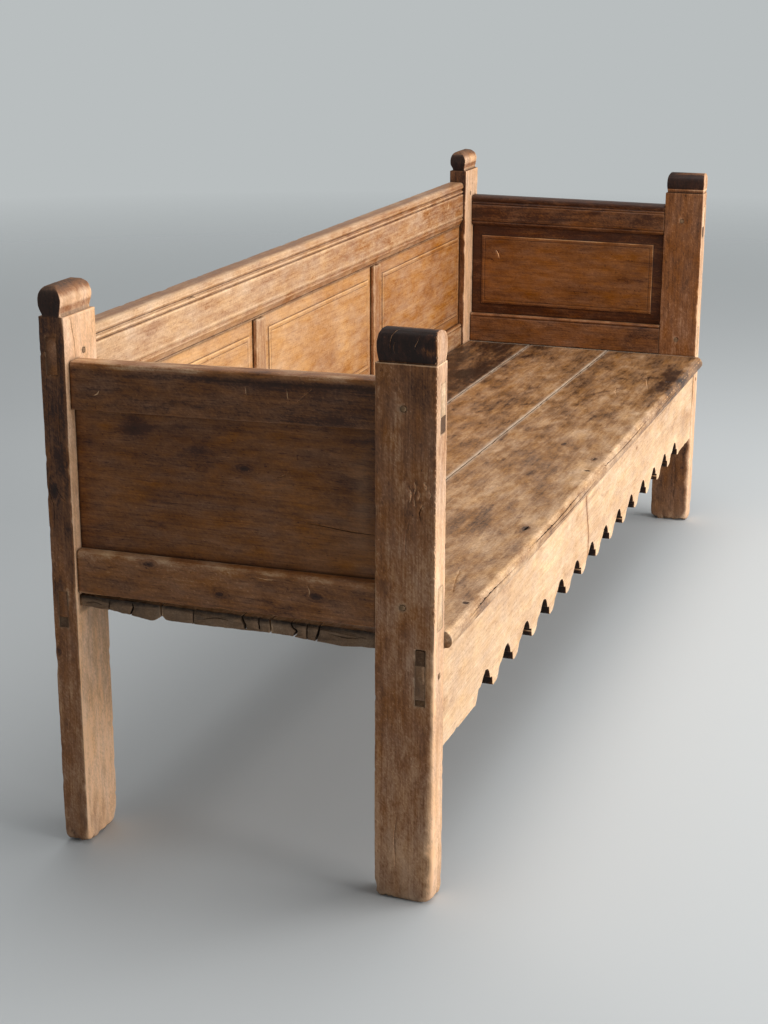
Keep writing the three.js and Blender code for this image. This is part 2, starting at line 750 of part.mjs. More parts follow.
function addBack(pegsByEnd) {
  const run = [backPostWidth + clearance, overallLength - backPostWidth - clearance];
  const grooveRun = [run[0] - overrun, run[1] + overrun];
  const face = (behind) => backFace + behind;
  const crestOutline = [
    [railBack, crestBottom],
    [railBack, crestTop],
    ...moulding(crestEdgeShares, face, crestEdgeDepth, crestTop, crestEdgeHeight),
    ...moulding(crestFootShares, face, crestFootDepth, crestBottom + crestFootHeight, crestFootHeight),
  ];
  const crest = cut(
    join(solid(alongX(crestOutline, ...run)), ...ends.map((end) => block(crestTenon(end)))),
    backGroove(grooveRun, [crestBottom - overrun, crestBottom + grooveDepth]),
    ...Object.values(muntins).map((middle) => block(room(muntinTopTenon(middle)))),
    ...pegsByEnd.map((pegs) => pegHole(pegs.crest)),
  );
  addMesh("crest_rail", crest, materials.rail);

  const bottomOutline = [
    [railBack, bottomRailBottom],
    [railBack, bottomRailTop],
    ...moulding(railBeadShares, face, railBeadDepth, bottomRailTop, railBeadHeight),
    [backFace, bottomRailBottom],
  ];
  const bottom = cut(
    join(solid(alongX(bottomOutline, ...run)), ...ends.map((end) => block(bottomTenon(end)))),
    backGroove(grooveRun, [bottomRailTop - grooveDepth, bottomRailTop + overrun]),
    ...Object.values(muntins).map((middle) => block(room(muntinFootTenon(middle)))),
    ...Object.values(bearers).map((middle) => block(room(bearerBackTenon(middle)))),
    ...pegsByEnd.map((pegs) => pegHole(pegs.bottom_rail)),
  );
  addMesh("back_bottom_rail", bottom, materials.rail);

  const half = muntinWidth / 2;
  for (const [name, middle] of Object.entries(muntins)) {
    const [low, high] = [middle - half, middle + half];
    const body = block({
      x: [low, high],
      y: [backFace + muntinSetback, railBack],
      z: [bottomRailTop + clearance, crestBottom - clearance],
    });
    const grooveHeight = [bottomRailTop - overrun, crestBottom + overrun];
    const made = join(
      cut(
        body,
        backGroove([low - overrun, low + grooveDepth], grooveHeight),
        backGroove([high - grooveDepth, high + overrun], grooveHeight),
      ),
      block(muntinTopTenon(middle)),
      block(muntinFootTenon(middle)),
    );
    addMesh(`muntin_${name}`, made, materials.rail);
  }

  const openings = {
    left: { low: backPostWidth, high: muntins.left - half },
    middle: { low: muntins.left + half, high: muntins.right - half },
    right: { low: muntins.right + half, high: overallLength - backPostWidth },
  };
  const height = { low: bottomRailTop, high: crestBottom };
  const place = (ahead) => grooveFront - ahead;
  for (const [name, width] of Object.entries(openings)) {
    const upright = panelOutline(height, place, panelRest).map(([z, y]) => [y, z]);
    const level = panelOutline(width, place, panelPlay);
    const made = solid(alongX(upright, ...panelSpan(width, panelPlay))).intersect(
      solid(alongZ(level, ...panelSpan(height, panelRest))),
    );
    addMesh(`back_panel_${name}`, made, materials.panel);
  }
}

// Lower edge of the apron between its notches
const apronLow = (x) => apronTop - between(apronHeightLeft, apronHeightRight, x / overallLength);
const notchCount =
  1 + Math.floor((overallLength - frontPostWidth - lastNotchInset - firstNotch) / notchPitch);
const seatNails = seatNailShares.map((share) => ({ x: share * overallLength, y: seatNailSetback }));

function addApron(pegsByEnd) {
  const [left, right] = [frontPostWidth + clearance, overallLength - frontPostWidth - clearance];
  const notches = Array.from({ length: notchCount }, (_, i) => firstNotch + i * notchPitch);
  const lowerEdge = notches.flatMap((middle) =>
    notchShares.map(([along, up]) => {
      const x = middle + along * notchPitch;
      return [x, apronLow(x) + up * notchHeight];
    }),
  );
  const outline = [
    [left, apronLow(left)],
    ...lowerEdge,
    [right, apronLow(right)],
    [right, apronTop],
    [left, apronTop],
  ];
  const made = cut(
    join(
      solid(alongY(outline, apronSetback, apronBack)),
      ...ends.map((end) => block(apronTenon(end))),
    ),
    ...Object.values(bearers).map((middle) => block(room(bearerFrontTenon(middle)))),
    ...pegsByEnd.map((pegs) => pegHole(pegs.apron)),
    ...seatNails.map(({ x, y }) => nail(x, y, clearance)),
  );
  addMesh("apron", made, materials.rail);
}

function addBearers() {
  for (const [name, middle] of Object.entries(bearers)) {
    const made = join(
      block({
        x: [middle - bearerWidth / 2, middle + bearerWidth / 2],
        y: [apronBack + clearance, backFace - clearance],
        z: [bearerTop - bearerHeight, bearerTop],
      }),
      block(bearerFrontTenon(middle)),
      block(bearerBackTenon(middle)),
    );
    addMesh(`cross_bearer_${name}`, made, materials.bearer);
  }
}

// Front edge of the seat; its overhang grows towards the right end
function seatFront(x) {
  const share = (x - frontPostWidth) / (overallLength - 2 * frontPostWidth);
  return -between(nosingOverhangLeft, nosingOverhangRight, share);
}

// An open joint between two planks, askew: the edge on its front side (-1) or back side (1)
const jointEdge = (left, right, side) => (x) =>
  between(left, right, x / overallLength) + (side * plankGap) / 2;

function addSeat() {
  const mirrored = (inward) => overallLength - inward;
  const [a, b] = [plankEndSetback, mirrored(plankEndSetback)];
  const plank = (points) => solid(alongZ(points, plankBottom, seatHeight));

  const frontInner = frontPostWidth + clearance;
  const frontInnerRight = mirrored(frontInner);
  const postBack = frontPostDepth + clearance;
  const frontPlankBack = jointEdge(frontJointLeft, frontJointRight, -1);
  const nosing = [
    ...nosingShares.map(([behind, down]) => [
      behind * nosingDepth,
      seatHeight - down * plankThickness,
    ]),
    [overallDepth, plankBottom],
    [overallDepth, seatHeight],
  ];
  const nosed = solid(shifted(alongX(nosing, 0, overallLength), (point) => {
    point.y += seatFront(point.x);
  }));
  const front = plank([
    [frontInner, seatFront(frontInner)], [frontInnerRight, seatFront(frontInnerRight)],
    [frontInnerRight, postBack], [b, postBack], [b, frontPlankBack(b)],
    [a, frontPlankBack(a)], [a, postBack], [frontInner, postBack],
  ]);
  const nailHoles = seatNails.map(({ x, y }) => nail(x, y, clearance));
  addMesh("seat_plank_front", cut(front.intersect(nosed), ...nailHoles), materials.seat);

  const middlePlankFront = jointEdge(frontJointLeft, frontJointRight, 1);
  const middlePlankBack = jointEdge(backJointLeft, backJointRight, -1);
  const middle = plank([
    [a, middlePlankFront(a)], [b, middlePlankFront(b)], [b, middlePlankBack(b)],
    [a, middlePlankBack(a)],
  ]);
  addMesh("seat_plank_middle", middle, materials.seat);

  const backPlankFront = jointEdge(backJointLeft, backJointRight, 1);
  const backInner = backPostWidth + clearance;
  const backInnerRight = mirrored(backInner);
  const [postFront, railFront] = [backPostFront - clearance, backFace - clearance];
  const back = plank([
    [a, backPlankFront(a)], [b, backPlankFront(b)], [b, postFront], [backInnerRight, postFront],
    [backInnerRight, railFront], [backInner, railFront], [backInner, postFront], [a, postFront],
  ]);
  addMesh("seat_plank_back", back, materials.seat);

  seatNails.forEach(({ x, y }, i) => addMesh(`seat_nail_${i + 1}`, nail(x, y, 0), materials.iron));
}

const pegsByEnd = ends.map(pegPlaces);
ends.forEach((end, i) => {
  addFrontPost(end, pegsByEnd[i]);
  addBackPost(end, pegsByEnd[i]);
  addArm(end, pegsByEnd[i]);
  addWedges(end);
  for (const [name, place] of Object.entries(pegsByEnd[i])) {
    addMesh(`peg_${name}_${end.name}`, peg(place), materials.peg);
  }
});
addApron(pegsByEnd);
addBack(pegsByEnd);
addBearers();
addSeat();

const greatestOverhang = Math.max(nosingOverhangLeft, nosingOverhangRight);
bench.position.set(-overallLength / 2, -(overallDepth - greatestOverhang) / 2, 0);

export default bench;
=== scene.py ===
import math
from functools import partial
from itertools import product

import bmesh
import bpy
import numpy as np
from mathutils import Euler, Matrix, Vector
from mathutils.bvhtree import BVHTree


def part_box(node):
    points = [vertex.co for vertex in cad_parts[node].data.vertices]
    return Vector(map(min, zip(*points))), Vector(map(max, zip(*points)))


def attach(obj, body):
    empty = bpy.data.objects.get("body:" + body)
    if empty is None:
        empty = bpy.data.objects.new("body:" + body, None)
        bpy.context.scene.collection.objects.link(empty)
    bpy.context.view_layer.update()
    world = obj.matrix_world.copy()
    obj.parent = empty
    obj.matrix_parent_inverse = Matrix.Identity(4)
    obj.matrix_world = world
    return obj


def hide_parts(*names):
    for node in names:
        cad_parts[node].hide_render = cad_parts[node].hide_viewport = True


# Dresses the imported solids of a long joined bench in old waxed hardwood. Every piece is worked
# in the bench's own millimetres: x along it from the left posts, y back from the front posts'
# faces, z up from the floor. Each one is skinned, worn down, cut to its solid and painted.

bl_info = {
    "name": "Panelled bench in old hardwood",
    "version": (1, 0, 0),
    "blender": (4, 5, 0),
    "location": "3D View > Sidebar > Bench",
    "description": "Dresses the solids of a joined bench as worn, waxed pieces",
    "category": "Add Mesh",
}

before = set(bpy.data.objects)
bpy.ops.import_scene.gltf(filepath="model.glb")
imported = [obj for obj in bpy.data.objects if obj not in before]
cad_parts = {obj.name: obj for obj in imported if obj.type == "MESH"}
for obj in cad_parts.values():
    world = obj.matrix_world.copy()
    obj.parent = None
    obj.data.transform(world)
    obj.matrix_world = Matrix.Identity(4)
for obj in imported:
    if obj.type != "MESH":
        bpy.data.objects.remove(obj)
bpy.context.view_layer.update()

MM = 0.001
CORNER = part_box("post_front_left")[0]
ORIGIN = np.array([CORNER.x, CORNER.y, 0.0])


def on_bench(points):
    """Points of the scene in the bench's millimetres."""
    return (np.array(points) - ORIGIN) / MM


def box(node):
    """Lowest and highest corner of a CAD node in the bench's millimetres."""
    low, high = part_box(node)
    return on_bench(low), on_bench(high)


SIDES = ("left", "right")
THIRDS = ("left", "middle", "right")
LENGTH = box("post_front_right")[1][0]
SEAT = box("seat_plank_middle")[1][2]
FRONT_POST = box("post_front_left")[1]
BACK_POST = box("post_back_left")
BACK_POST_FRONT = BACK_POST[0][1]
CREST = box("crest_rail")

# Sizes that the solids' boxes don't tell
FRONT_ROLL = 49.5
BACK_ROLL = 50.5
PLANK_DEPTH = 30
PLANK_JOINTS = {"front": (277.0, 233.0), "back": (469.0, 446.0)}  # at the left and right end
PLANK_GAP = 1.6
NOSING = (12.0, 21.0)  # overhang at the left and right end
NOSING_DEPTH = 14.0
APRON_DROPS = (167.1, 191.3)  # height of the apron at the left and right end
NOTCH_PITCH = 129.1
FIRST_NOTCH = 304.0
NOTCH_COUNT = 14
NOTCH_HEIGHT = 40.0
ARM_RISES = {"left": (5.0, 11.0), "right": (0.0, -3.0)}  # of the bottom and top rail, to the front
MARGIN = 27.0  # from a panel's frame to its field
GROOVE = 10.0  # from a back panel's rear to its grooved edge
PANEL_THICKNESS = 9.8
PANEL_SIDE, PANEL_END = 8, 9.7  # how deep a back panel stands in its grooves
PANEL_EDGES = (7.8, 9.5)  # how far a panel's skin goes on past its opening

# How the wood is worn
ALONG_GRAIN = 4.0  # how much longer than wide the hollows of the wood are
SKIN = 0.12  # least depth taken off, so that a worn face never lies in its solid's face
BACK_OFF = 0.5  # depth of a moulding behind its solid's facets
HOLLOW_WAVES = (75, 17, 4)  # wavelengths of the sway, the ripple and the grit
DENT_REACH, DENT_SHARE, DENT_STRETCH = (3, 11), (0.1, 0.9), 1.6
CHIP_REACH = (3, 16)
DEEPEST = 0.2  # most of a piece's width that wear takes off
TURN, TURN_STEPS = 5.0, 10  # distance over which the way into the wood turns round an arris
FOOT_WEAR = 11.0  # how much rounder the corners of a foot are
FOOT_REACH = 16  # height over which that fades
CUT_SEARCH = 14.0  # how far off its path a cut looks for the surface
CUT_ABOVE = 0.9  # how far above the surface its wedge starts
CUT_JAG, CUT_JAG_WAVE = 0.55, 6  # how far it strays sideways, and over what length
CUT_WAIST, CUT_WAIST_DEPTH = 0.9, 0.15  # shares of width and depth where its sides turn in
BARE_DEPTH = 0.09  # how far below the old surface a cut has laid the wood bare
DIRT_AND_SHADE_REACH = 4.0  # how far from a joint dirt and painted shade reach
HOLLOW_DIRT_AND_SHADE, ARRIS_RUBBED = 9, 5  # how strongly hollows are darkened, as dirt and painted shade, and arrises rubbed pale
WELD = 2e-5  # metres
SHARP = math.radians(42)

FINISHES = {
    "post_wood": "dark_waxed_hardwood",
    "rail_wood": "rubbed_waxed_hardwood",
    "panel_wood": "honey_waxed_hardwood",
    "seat_wood": "polished_hardwood",
    "bearer_wood": "sawn_bare_hardwood",
    "peg_wood": "oiled_end_grain",
    "iron": "forged_iron",
}
# Knots as (centre, radius)
KNOTS = {
    "front_plank": [((612, 23, 451), 6), ((1122, 16, 451), 6), ((1219, 105, 451), 5)],
    "middle_plank": [((1180, 395, 451), 5)],
    "back_post_left": [((0, 648, 628), 6), ((0, 655, 350), 4)],
    "left_arm_panel": [((25, 323, 690), 3.5)],
    "left_arm_bottom_rail": [((5, 197, 500), 4.5), ((5, 486, 520), 4), ((5, 362, 484), 3)],
    "left_arm_top_rail": [((11, 300, 850), 3)],
    "scalloped_apron": [((1500, 3, 380), 3)],
}
DOWN, REAR, ALONG = (0, 0, -1), (0, 1, 0), (1, 0, 0)
# Drying cracks as (path, way into the wood, depth, width)
CRACKS = {
    "back_post_left": [
        ([(22, 616, 911), (26, 616, 897), (30, 616, 878), (33, 616, 863), (35, 616, 842)],
         REAR, 14, 1.7),
        ([(0, 652, 660), (0, 657, 628), (0, 650, 600), (0, 652, 560)], ALONG, 10, 1.3),
        ([(0, 645, 636), (0, 638, 622), (0, 628, 612)], ALONG, 8, 1.2),
        ([(0, 668, 330), (0, 671, 280), (0, 668, 220)], ALONG, 9, 1.0),
        ([(0, 630, 800), (0, 633, 740), (0, 631, 690)], ALONG, 9, 1.0),
    ],
    "back_post_right": [([(2200, 616, 900), (2203, 616, 800), (2201, 616, 740)], REAR, 12, 1.4)],
    "front_post_left": [
        ([(0, 62, 60), (0, 64, 110), (0, 61, 150)], ALONG, 7, 0.8),
        ([(0, 22, 668), (0, 27, 655), (0, 24, 640)], ALONG, 6, 1.4),
        ([(30, 0, 10), (33, 0, 60), (31, 0, 120)], REAR, 8, 1.2),
    ],
    "front_post_right": [([(2198, 40, 60), (2198, 38, 110), (2198, 40, 160)], ALONG, 6, 0.5)],
    "left_arm_panel": [
        ([(25, 222, 611.5), (25, 197, 610), (25, 156, 606), (25, 130, 605), (25, 95, 604)],
         ALONG, 6, 1.3),
    ],
    "scalloped_apron": [
        ([(1004, 2, 436), (1008, 2, 392), (1026, 2, 346), (1040, 2, 308), (1038, 2, 262)],
         REAR, 10, 2.2),
        ([(1700, 2, 400), (1800, 2, 396), (1950, 2, 399)], REAR, 8, 1.0),
    ],
    "back_plank": [
        ([(8, 521, 449), (8, 519, 440), (8, 524, 428), (8, 521, 416)], ALONG, 30, 3.4),
        ([(8, 560, 449), (8, 563, 436), (8, 559, 424)], ALONG, 24, 2.4),
        ([(8, 606, 438), (8, 590, 441), (8, 574, 438)], ALONG, 12, 1.3),
    ],
    "middle_plank": [
        ([(8, 326, 453), (8, 325, 444), (8, 321, 432), (8, 322, 418)], ALONG, 60, 6.0),
        ([(8, 296, 453), (8, 297, 440), (8, 295, 418)], ALONG, 34, 3.2),
        ([(8, 410, 453), (8, 412, 436), (8, 409, 418)], ALONG, 22, 2.2),
        ([(8, 395, 436), (8, 370, 441), (8, 342, 438)], ALONG, 12, 1.3),
    ],
    "front_plank": [
        ([(8, 241, 455), (8, 240, 444), (8, 233, 436), (8, 237, 428), (8, 236, 416)],
         ALONG, 40, 4.8),
        ([(8, 213, 455), (8, 215, 438), (8, 214, 416)], ALONG, 26, 2.8),
        ([(8, 193, 455), (8, 195, 440), (8, 199, 428), (8, 198, 414)], ALONG, 40, 4.6),
        ([(8, 180, 440), (8, 150, 436), (8, 120, 440)], ALONG, 12, 1.4),
        ([(601, 22, 451), (612, 23, 451), (624, 22, 451)], DOWN, 9, 7.0),
        ([(1112, 17, 451), (1122, 16, 451), (1133, 17, 451)], DOWN, 6, 3.0),
        ([(150, -12, 440), (260, -13, 442), (420, -12, 439)], REAR, 6, 1.6),
        ([(520, -14, 444), (700, -15, 441), (905, -14, 443)], REAR, 7, 2.2),
        ([(640, -15, 436), (820, -16, 433), (1010, -16, 436)], REAR, 7, 1.8),
        ([(1100, -16, 443), (1290, -17, 440), (1530, -17, 442)], REAR, 7, 2.0),
        ([(1560, -18, 435), (1740, -18, 438), (1900, -19, 436)], REAR, 7, 1.6),
    ],
    "crest": [([(470, 630, 861), (489, 626, 862), (500, 622, 857)], REAR, 5, 1.4)],
}
# Pale scratches as (path, way into the wood, depth, width)
SCRATCHES = {
    "front_post_left": [
        ([(0, 52, 935), (0, 62, 932), (0, 70, 926), (0, 74, 915), (0, 74, 898)], ALONG, 1.0, 1.1),
        ([(0, 66, 914), (0, 69, 906), (0, 67, 896)], ALONG, 0.8, 0.8),
        ([(0, 28, 926), (0, 34, 912), (0, 37, 905)], ALONG, 0.8, 0.9),
        ([(0, 44, 640), (0, 49, 615), (0, 49, 590)], ALONG, 0.7, 0.9),
        ([(0, 45, 694), (0, 40, 684), (0, 42, 669)], ALONG, 1.2, 2.2),
        ([(0, 35, 703), (0, 33, 694), (0, 35, 684)], ALONG, 1.2, 2.4),
        ([(0, 29, 690), (0, 26, 684), (0, 28, 676)], ALONG, 1.2, 2.0),
        ([(0, 20, 702), (0, 16, 697), (0, 17, 691)], ALONG, 1.2, 2.2),
        ([(0, 35, 678), (0, 35, 672), (0, 33, 664)], ALONG, 1.0, 1.8),
        ([(0, 12, 690), (0, 9, 685), (0, 11, 678)], ALONG, 0.9, 1.6),
    ],
    "left_arm_top_rail": [
        ([(11, 575, 789), (11, 568, 792), (11, 564, 798)], ALONG, 0.9, 1.8),
        ([(11, 245, 828), (11, 243, 816), (11, 242, 807)], ALONG, 0.8, 1.2),
        ([(11, 313, 825), (11, 312, 818), (11, 311, 810)], ALONG, 0.7, 0.9),
        ([(11, 227, 808), (11, 216, 818), (11, 203, 829)], ALONG, 0.5, 0.8),
    ],
    "left_arm_panel": [([(25, 250, 690), (25, 260, 684), (25, 270, 680)], ALONG, 0.6, 0.8)],
    "left_arm_bottom_rail": [
        ([(5, 212, 516), (5, 208, 506), (5, 210, 498)], ALONG, 0.8, 1.4),
        ([(5, 300, 520), (5, 280, 518), (5, 262, 519)], ALONG, 0.8, 1.3),
    ],
    "front_plank": [
        ([(1790, 40, 451), (1850, 56, 451), (1930, 72, 451)], DOWN, 0.7, 1.6),
        ([(1700, 96, 451), (1740, 110, 451), (1790, 118, 451)], DOWN, 0.7, 1.4),
        ([(230, 44, 451), (290, 58, 451), (340, 66, 451)], DOWN, 0.6, 1.0),
    ],
    "crest": [([(2010, 624, 850), (2013, 624, 838), (2010, 624, 826)], REAR, 1.0, 2.4)],
    "right_arm_panel": [([(2213, 549, 699), (2213, 543, 690), (2213, 538, 678)], ALONG, 1.2, 2.6)],
}
# Chipped arrises as (start, stop, way into the wood, pitch, greatest width)
CHIPS = {
    "front_post_left": [
        ((0, 0, 480), (0, 0, 906), (1, 1, 0), 10, 4.5),
        ((0, 2, 917), (0, 2, 952), (1, 0.3, 0), 6, 3.5),
    ],
    "front_plank": [((120, -14, 450), (2230, -22, 450), (0, 1, -1.2), 27, 4.0)],
}


def linear(text):
    """Linear colour of an sRGB hex value."""
    shares = [int(text[i:i + 2], 16) / 255 for i in (1, 3, 5)]
    return (*[s / 12.92 if s <= 0.04045 else ((s + 0.055) / 1.055) ** 2.4 for s in shares], 1.0)


def colour_property(name, description, value):
    """A colour that the panel shows, from its sRGB hex value."""
    return bpy.props.FloatVectorProperty(
        name=name, description=description, subtype="COLOR", size=4, min=0, max=1,
        default=linear(value),
    )


def depth_property(name, description, value):
    """A depth, a radius or a number of the wear."""
    return bpy.props.FloatProperty(name=name, description=description, min=0, default=value)


class BenchWear(bpy.types.PropertyGroup):
    """Depths of the wear, in millimetres"""

    sway: depth_property("Sway", "Depth of the long hollows left by the plane, in mm", 0.7)
    ripple: depth_property("Ripple", "Depth of the hand-sized hollows, in mm", 0.35)
    grit: depth_property("Grit", "Depth of the fine roughness, in mm", 0.12)
    arris: depth_property("Arris", "Radius that a sharp arris is worn to, in mm", 1.1)
    arris_most: depth_property("Arris, most", "Radius where an arris is worn most, in mm", 3.2)
    chips: depth_property("Chips", "Chips along each metre of arris", 13.0)
    chip_depth: depth_property("Chip depth", "Most that a chip adds to an arris, in mm", 4.0)


class BenchColours(bpy.types.PropertyGroup):
    """Colours of the woods, the iron and the stage"""

    dry: colour_property("Dry wood", "Grey, dry wood of feet and plank ends", "#8d7561")
    dust: colour_property("Dust", "Pale dust packed into the seat's joints", "#bfae9b")
    # dark colour of the dirt and of the painted shade in joints, hollows, cracks, grooves and notches
    dirt: colour_property("Dirt", "Wax and dirt in the joints", "#1a100a")
    iron: colour_property("Iron", "Forged iron of the nails", "#2b2522")
    rust: colour_property("Rust", "Brown rust in the iron's hollows", "#4b2f1f")
    floor: colour_property("Floor", "Pale floor", "#c6cbce")
    backdrop: colour_property("Backdrop", "Pale background", "#b9bebf")


SHADES = {"dark": "Patina", "middle": "Waxed wood", "light": "Rubbed wood"}
WOOD_COLOURS = {
    "post": ("#3a2117", "#8b5a35", "#d4aa84"),
    "rail": ("#432515", "#925f36", "#dcb890"),
    "panel": ("#4a2611", "#97602f", "#dcae7b"),
    "seat": ("#392417", "#946c46", "#d2ad85"),
    "bearer": ("#4a3322", "#80604a", "#a98a6a"),
    "peg": ("#2c1c12", "#6b4d36", "#a58563"),
}
BenchColours.__annotations__.update({
    f"{wood}_{shade}": colour_property(f"{wood.title()}, {shade}", f"{what} of every {wood}", value)
    for wood, values in WOOD_COLOURS.items()
    for (shade, what), value in zip(SHADES.items(), values)
})


def add(tree, kind, inputs=None, **settings):
    """Adds a node with its settings and links: an input is a value or another node's output."""
    made = tree.nodes.new(kind)
    for name, value in settings.items():
        if name == "stops":
            elements = made.color_ramp.elements
            while len(elements) < len(value):
                elements.new(1.0)
            for element, (place, shade) in zip(elements, value):
                element.position = place
                element.color = shade if isinstance(shade, tuple) else (shade, shade, shade, 1.0)
        elif name == "points":
            curve = made.mapping.curves[0]
            while len(curve.points) < len(value):
                curve.points.new(1.0, 1.0)
            for point, place in zip(curve.points, value):
                point.location = place
                point.handle_type = "VECTOR"
            made.mapping.update()
        else:
            setattr(made, name, value)
    for name, value in (inputs or {}).items():
        if isinstance(value, bpy.types.NodeSocket):
            tree.links.new(value, made.inputs[name])
        else:
            made.inputs[name].default_value = value
    return made


def calculate(tree, operation, a, b=0.0, c=0.0):
    """Output of a math node."""
    return add(tree, "ShaderNodeMath", {0: a, 1: b, 2: c}, operation=operation).outputs[0]


def emptied(owner):
    """The node tree of a new material or world, without its first nodes."""
    owner.use_nodes = True
    owner.node_tree.nodes.clear()
    return owner.node_tree


def ramped(value, reach):
    """0 up to where a value is 0, 1 from where it is the reach on."""
    return np.clip(value / reach, 0, 1)


def closed_in(value, centre, reach, edge=1.0):
    """1 or more near a centre, falling to 0 at edge times the reach, never above 1."""
    return np.clip(edge - np.abs(value - centre) / reach, 0, 1)


def end_grain(facing):
    """How much end grain a face shows that looks along the grain by the share of facing."""
    return np.clip(facing * 2.5 - 1.2, 0, 1)


def wander(points, wavelength, seed):
    """Smooth values from -1 to 1 that change over about the wavelength given for each axis."""
    table = np.random.default_rng(seed).uniform(-1, 1, 4096)
    cell = points / wavelength
    low = np.floor(cell).astype(np.int64)
    share = cell - low
    share = share * share * (3 - 2 * share)
    total = np.zeros(len(points))
    for corner in product((0, 1), repeat=3):
        index = low + corner
        key = (index[:, 0] * 73856093) ^ (index[:, 1] * 19349663) ^ (index[:, 2] * 83492791)
        weight = np.prod(np.where(corner, share, 1 - share), axis=1)
        total = total + weight * table[key % 4096]
    return total


def smooth_through(points, steps=8):
    """A dense line that passes smoothly through points."""
    points = np.array(points, float)
    ends = np.vstack([2 * points[0] - points[1], points, 2 * points[-1] - points[-2]])
    share = np.linspace(0, 1, steps, endpoint=False)[:, None]
    made = []
    for before, start, stop, after in zip(ends, ends[1:], ends[2:], ends[3:]):
        made.append(0.5 * (
            2 * start + (stop - before) * share
            + (2 * before - 5 * start + 4 * stop - after) * share**2
            + (3 * start - before - 3 * stop + after) * share**3
        ))
    return np.vstack([*made, points[-1:]])


def rounded(corners, radii, step):
    """Closed sections, one per station, with every corner rounded to its radius."""
    back = np.roll(corners, 1, axis=1) - corners
    ahead = np.roll(corners, -1, axis=1) - corners
    back_length = np.linalg.norm(back, axis=2)
    ahead_length = np.linalg.norm(ahead, axis=2)
    reach = np.minimum(radii, 0.45 * np.minimum(back_length, ahead_length))[..., None]
    start = corners + back / back_length[..., None] * reach
    stop = corners + ahead / ahead_length[..., None] * reach
    columns = []
    count = corners.shape[1]
    for i in range(count):
        for share in (0, 1 / 3, 2 / 3, 1):
            columns.append(
                (1 - share) ** 2 * start[:, i] + 2 * share * (1 - share) * corners[:, i]
                + share**2 * stop[:, i]
            )
        following = start[:, (i + 1) % count]
        parts = max(1, round(float(ahead_length[:, i].mean()) / step))
        for part in range(1, parts):
            columns.append(stop[:, i] + (following - stop[:, i]) * part / parts)
    return np.stack(columns, axis=1)


def arrises(places, count, seed):
    """Corner radii of a section that change slowly along a run, with chips here and there."""
    wear = bpy.context.scene.bench_wear
    radii = np.empty((len(places), count))
    rng = np.random.default_rng(seed + 5)
    chips = round(np.ptp(places) * MM * wear.chips)
    for i in range(count):
        # each arris reads the noise along a line of its own
        points = np.column_stack([places, np.full(len(places), 977.0 * i), np.zeros(len(places))])
        share = 0.5 + 0.35 * wander(points, 90, seed) + 0.15 * wander(points, 17, seed + 1)
        radii[:, i] = wear.arris + (wear.arris_most - wear.arris) * share**2
        for centre in rng.uniform(places.min(), places.max(), chips):
            away = (places - centre) / rng.uniform(*CHIP_REACH)
            radii[:, i] += rng.uniform(0.2, 1) * wear.chip_depth * np.clip(1 - away**2, 0, None)
    return radii


def laid(sections, places, axis):
    """Rings of points in space from sections at places along an axis."""
    rings = np.empty((*sections.shape[:2], 3))
    rings[..., [i for i in range(3) if i != axis]] = sections
    rings[..., axis] = places[:, None]
    return rings


def capped(rings, shares=(0.03, 0.12, 0.5)):
    """Rings drawn in at both ends, for the poles that close them."""
    first, last = rings[0], rings[-1]
    starts = [first + (first.mean(0) - first) * share for share in reversed(shares)]
    stops = [last + (last.mean(0) - last) * share for share in shares]
    return np.concatenate([starts, rings, stops])


def skinned(rings, poles=True):
    """Vertices and faces of the closed skin over rings, with poles or flat ends."""
    count, size = rings.shape[:2]
    around = np.arange(size)
    after = np.roll(around, -1)
    vertices = rings.reshape(-1, 3)
    faces = []
    for row in range(count - 1):
        near, far = row * size, (row + 1) * size
        faces += np.stack([near + around, near + after, far + after, far + around], 1).tolist()
    top = (count - 1) * size
    if not poles:
        return vertices, [*faces, around[::-1].tolist(), (top + around).tolist()]
    first, last = count * size, count * size + 1
    vertices = np.vstack([vertices, rings[0].mean(0), rings[-1].mean(0)])
    faces += np.stack([np.full(size, first), after, around], 1).tolist()
    faces += np.stack([top + around, top + after, np.full(size, last)], 1).tolist()
    return vertices, faces


def inward(rings):
    """Unit vectors into the wood; they turn slowly round an arris, so worn skins don't fold."""
    around = np.roll(rings, -1, axis=1) - np.roll(rings, 1, axis=1)
    normal = np.cross(around, np.gradient(rings, axis=0))
    normal /= np.linalg.norm(normal, axis=2, keepdims=True) + 1e-9
    outward = rings - rings.mean(axis=1, keepdims=True)
    side = np.sign((normal * outward).sum(axis=(1, 2)))
    into = -normal * side[:, None, None]
    total = into.copy()
    for step in range(1, TURN_STEPS):
        for shift in (step, -step):
            away = np.linalg.norm(np.roll(rings, shift, axis=1) - rings, axis=2, keepdims=True)
            total += np.roll(into, shift, axis=1) * np.exp(-((away / TURN) ** 2))
    return total / (np.linalg.norm(total, axis=2, keepdims=True) + 1e-9)


def hollows(points, axis, seed, share=1.0, dents=60):
    """Depth worn off at each point: long hollows, ripples, grit and dents."""
    wear = bpy.context.scene.bench_wear
    stretch = np.ones(3)
    stretch[axis] = ALONG_GRAIN
    depth = np.full(len(points), SKIN)
    amounts = (wear.sway, wear.ripple, wear.grit)
    for layer, (amount, wavelength) in enumerate(zip(amounts, HOLLOW_WAVES)):
        value = 0.5 + 0.5 * wander(points, wavelength * stretch, seed + layer)
        depth += share * amount * value
    rng = np.random.default_rng(seed + 9)
    stretch[axis] = DENT_STRETCH
    for centre in points[rng.integers(0, len(points), dents)]:
        reach = rng.uniform(*DENT_REACH)
        away = np.linalg.norm((points - centre) / stretch, axis=1) / reach
        depth += share * rng.uniform(*DENT_SHARE) * np.clip(1 - away**2, 0, None) ** 2
    return depth


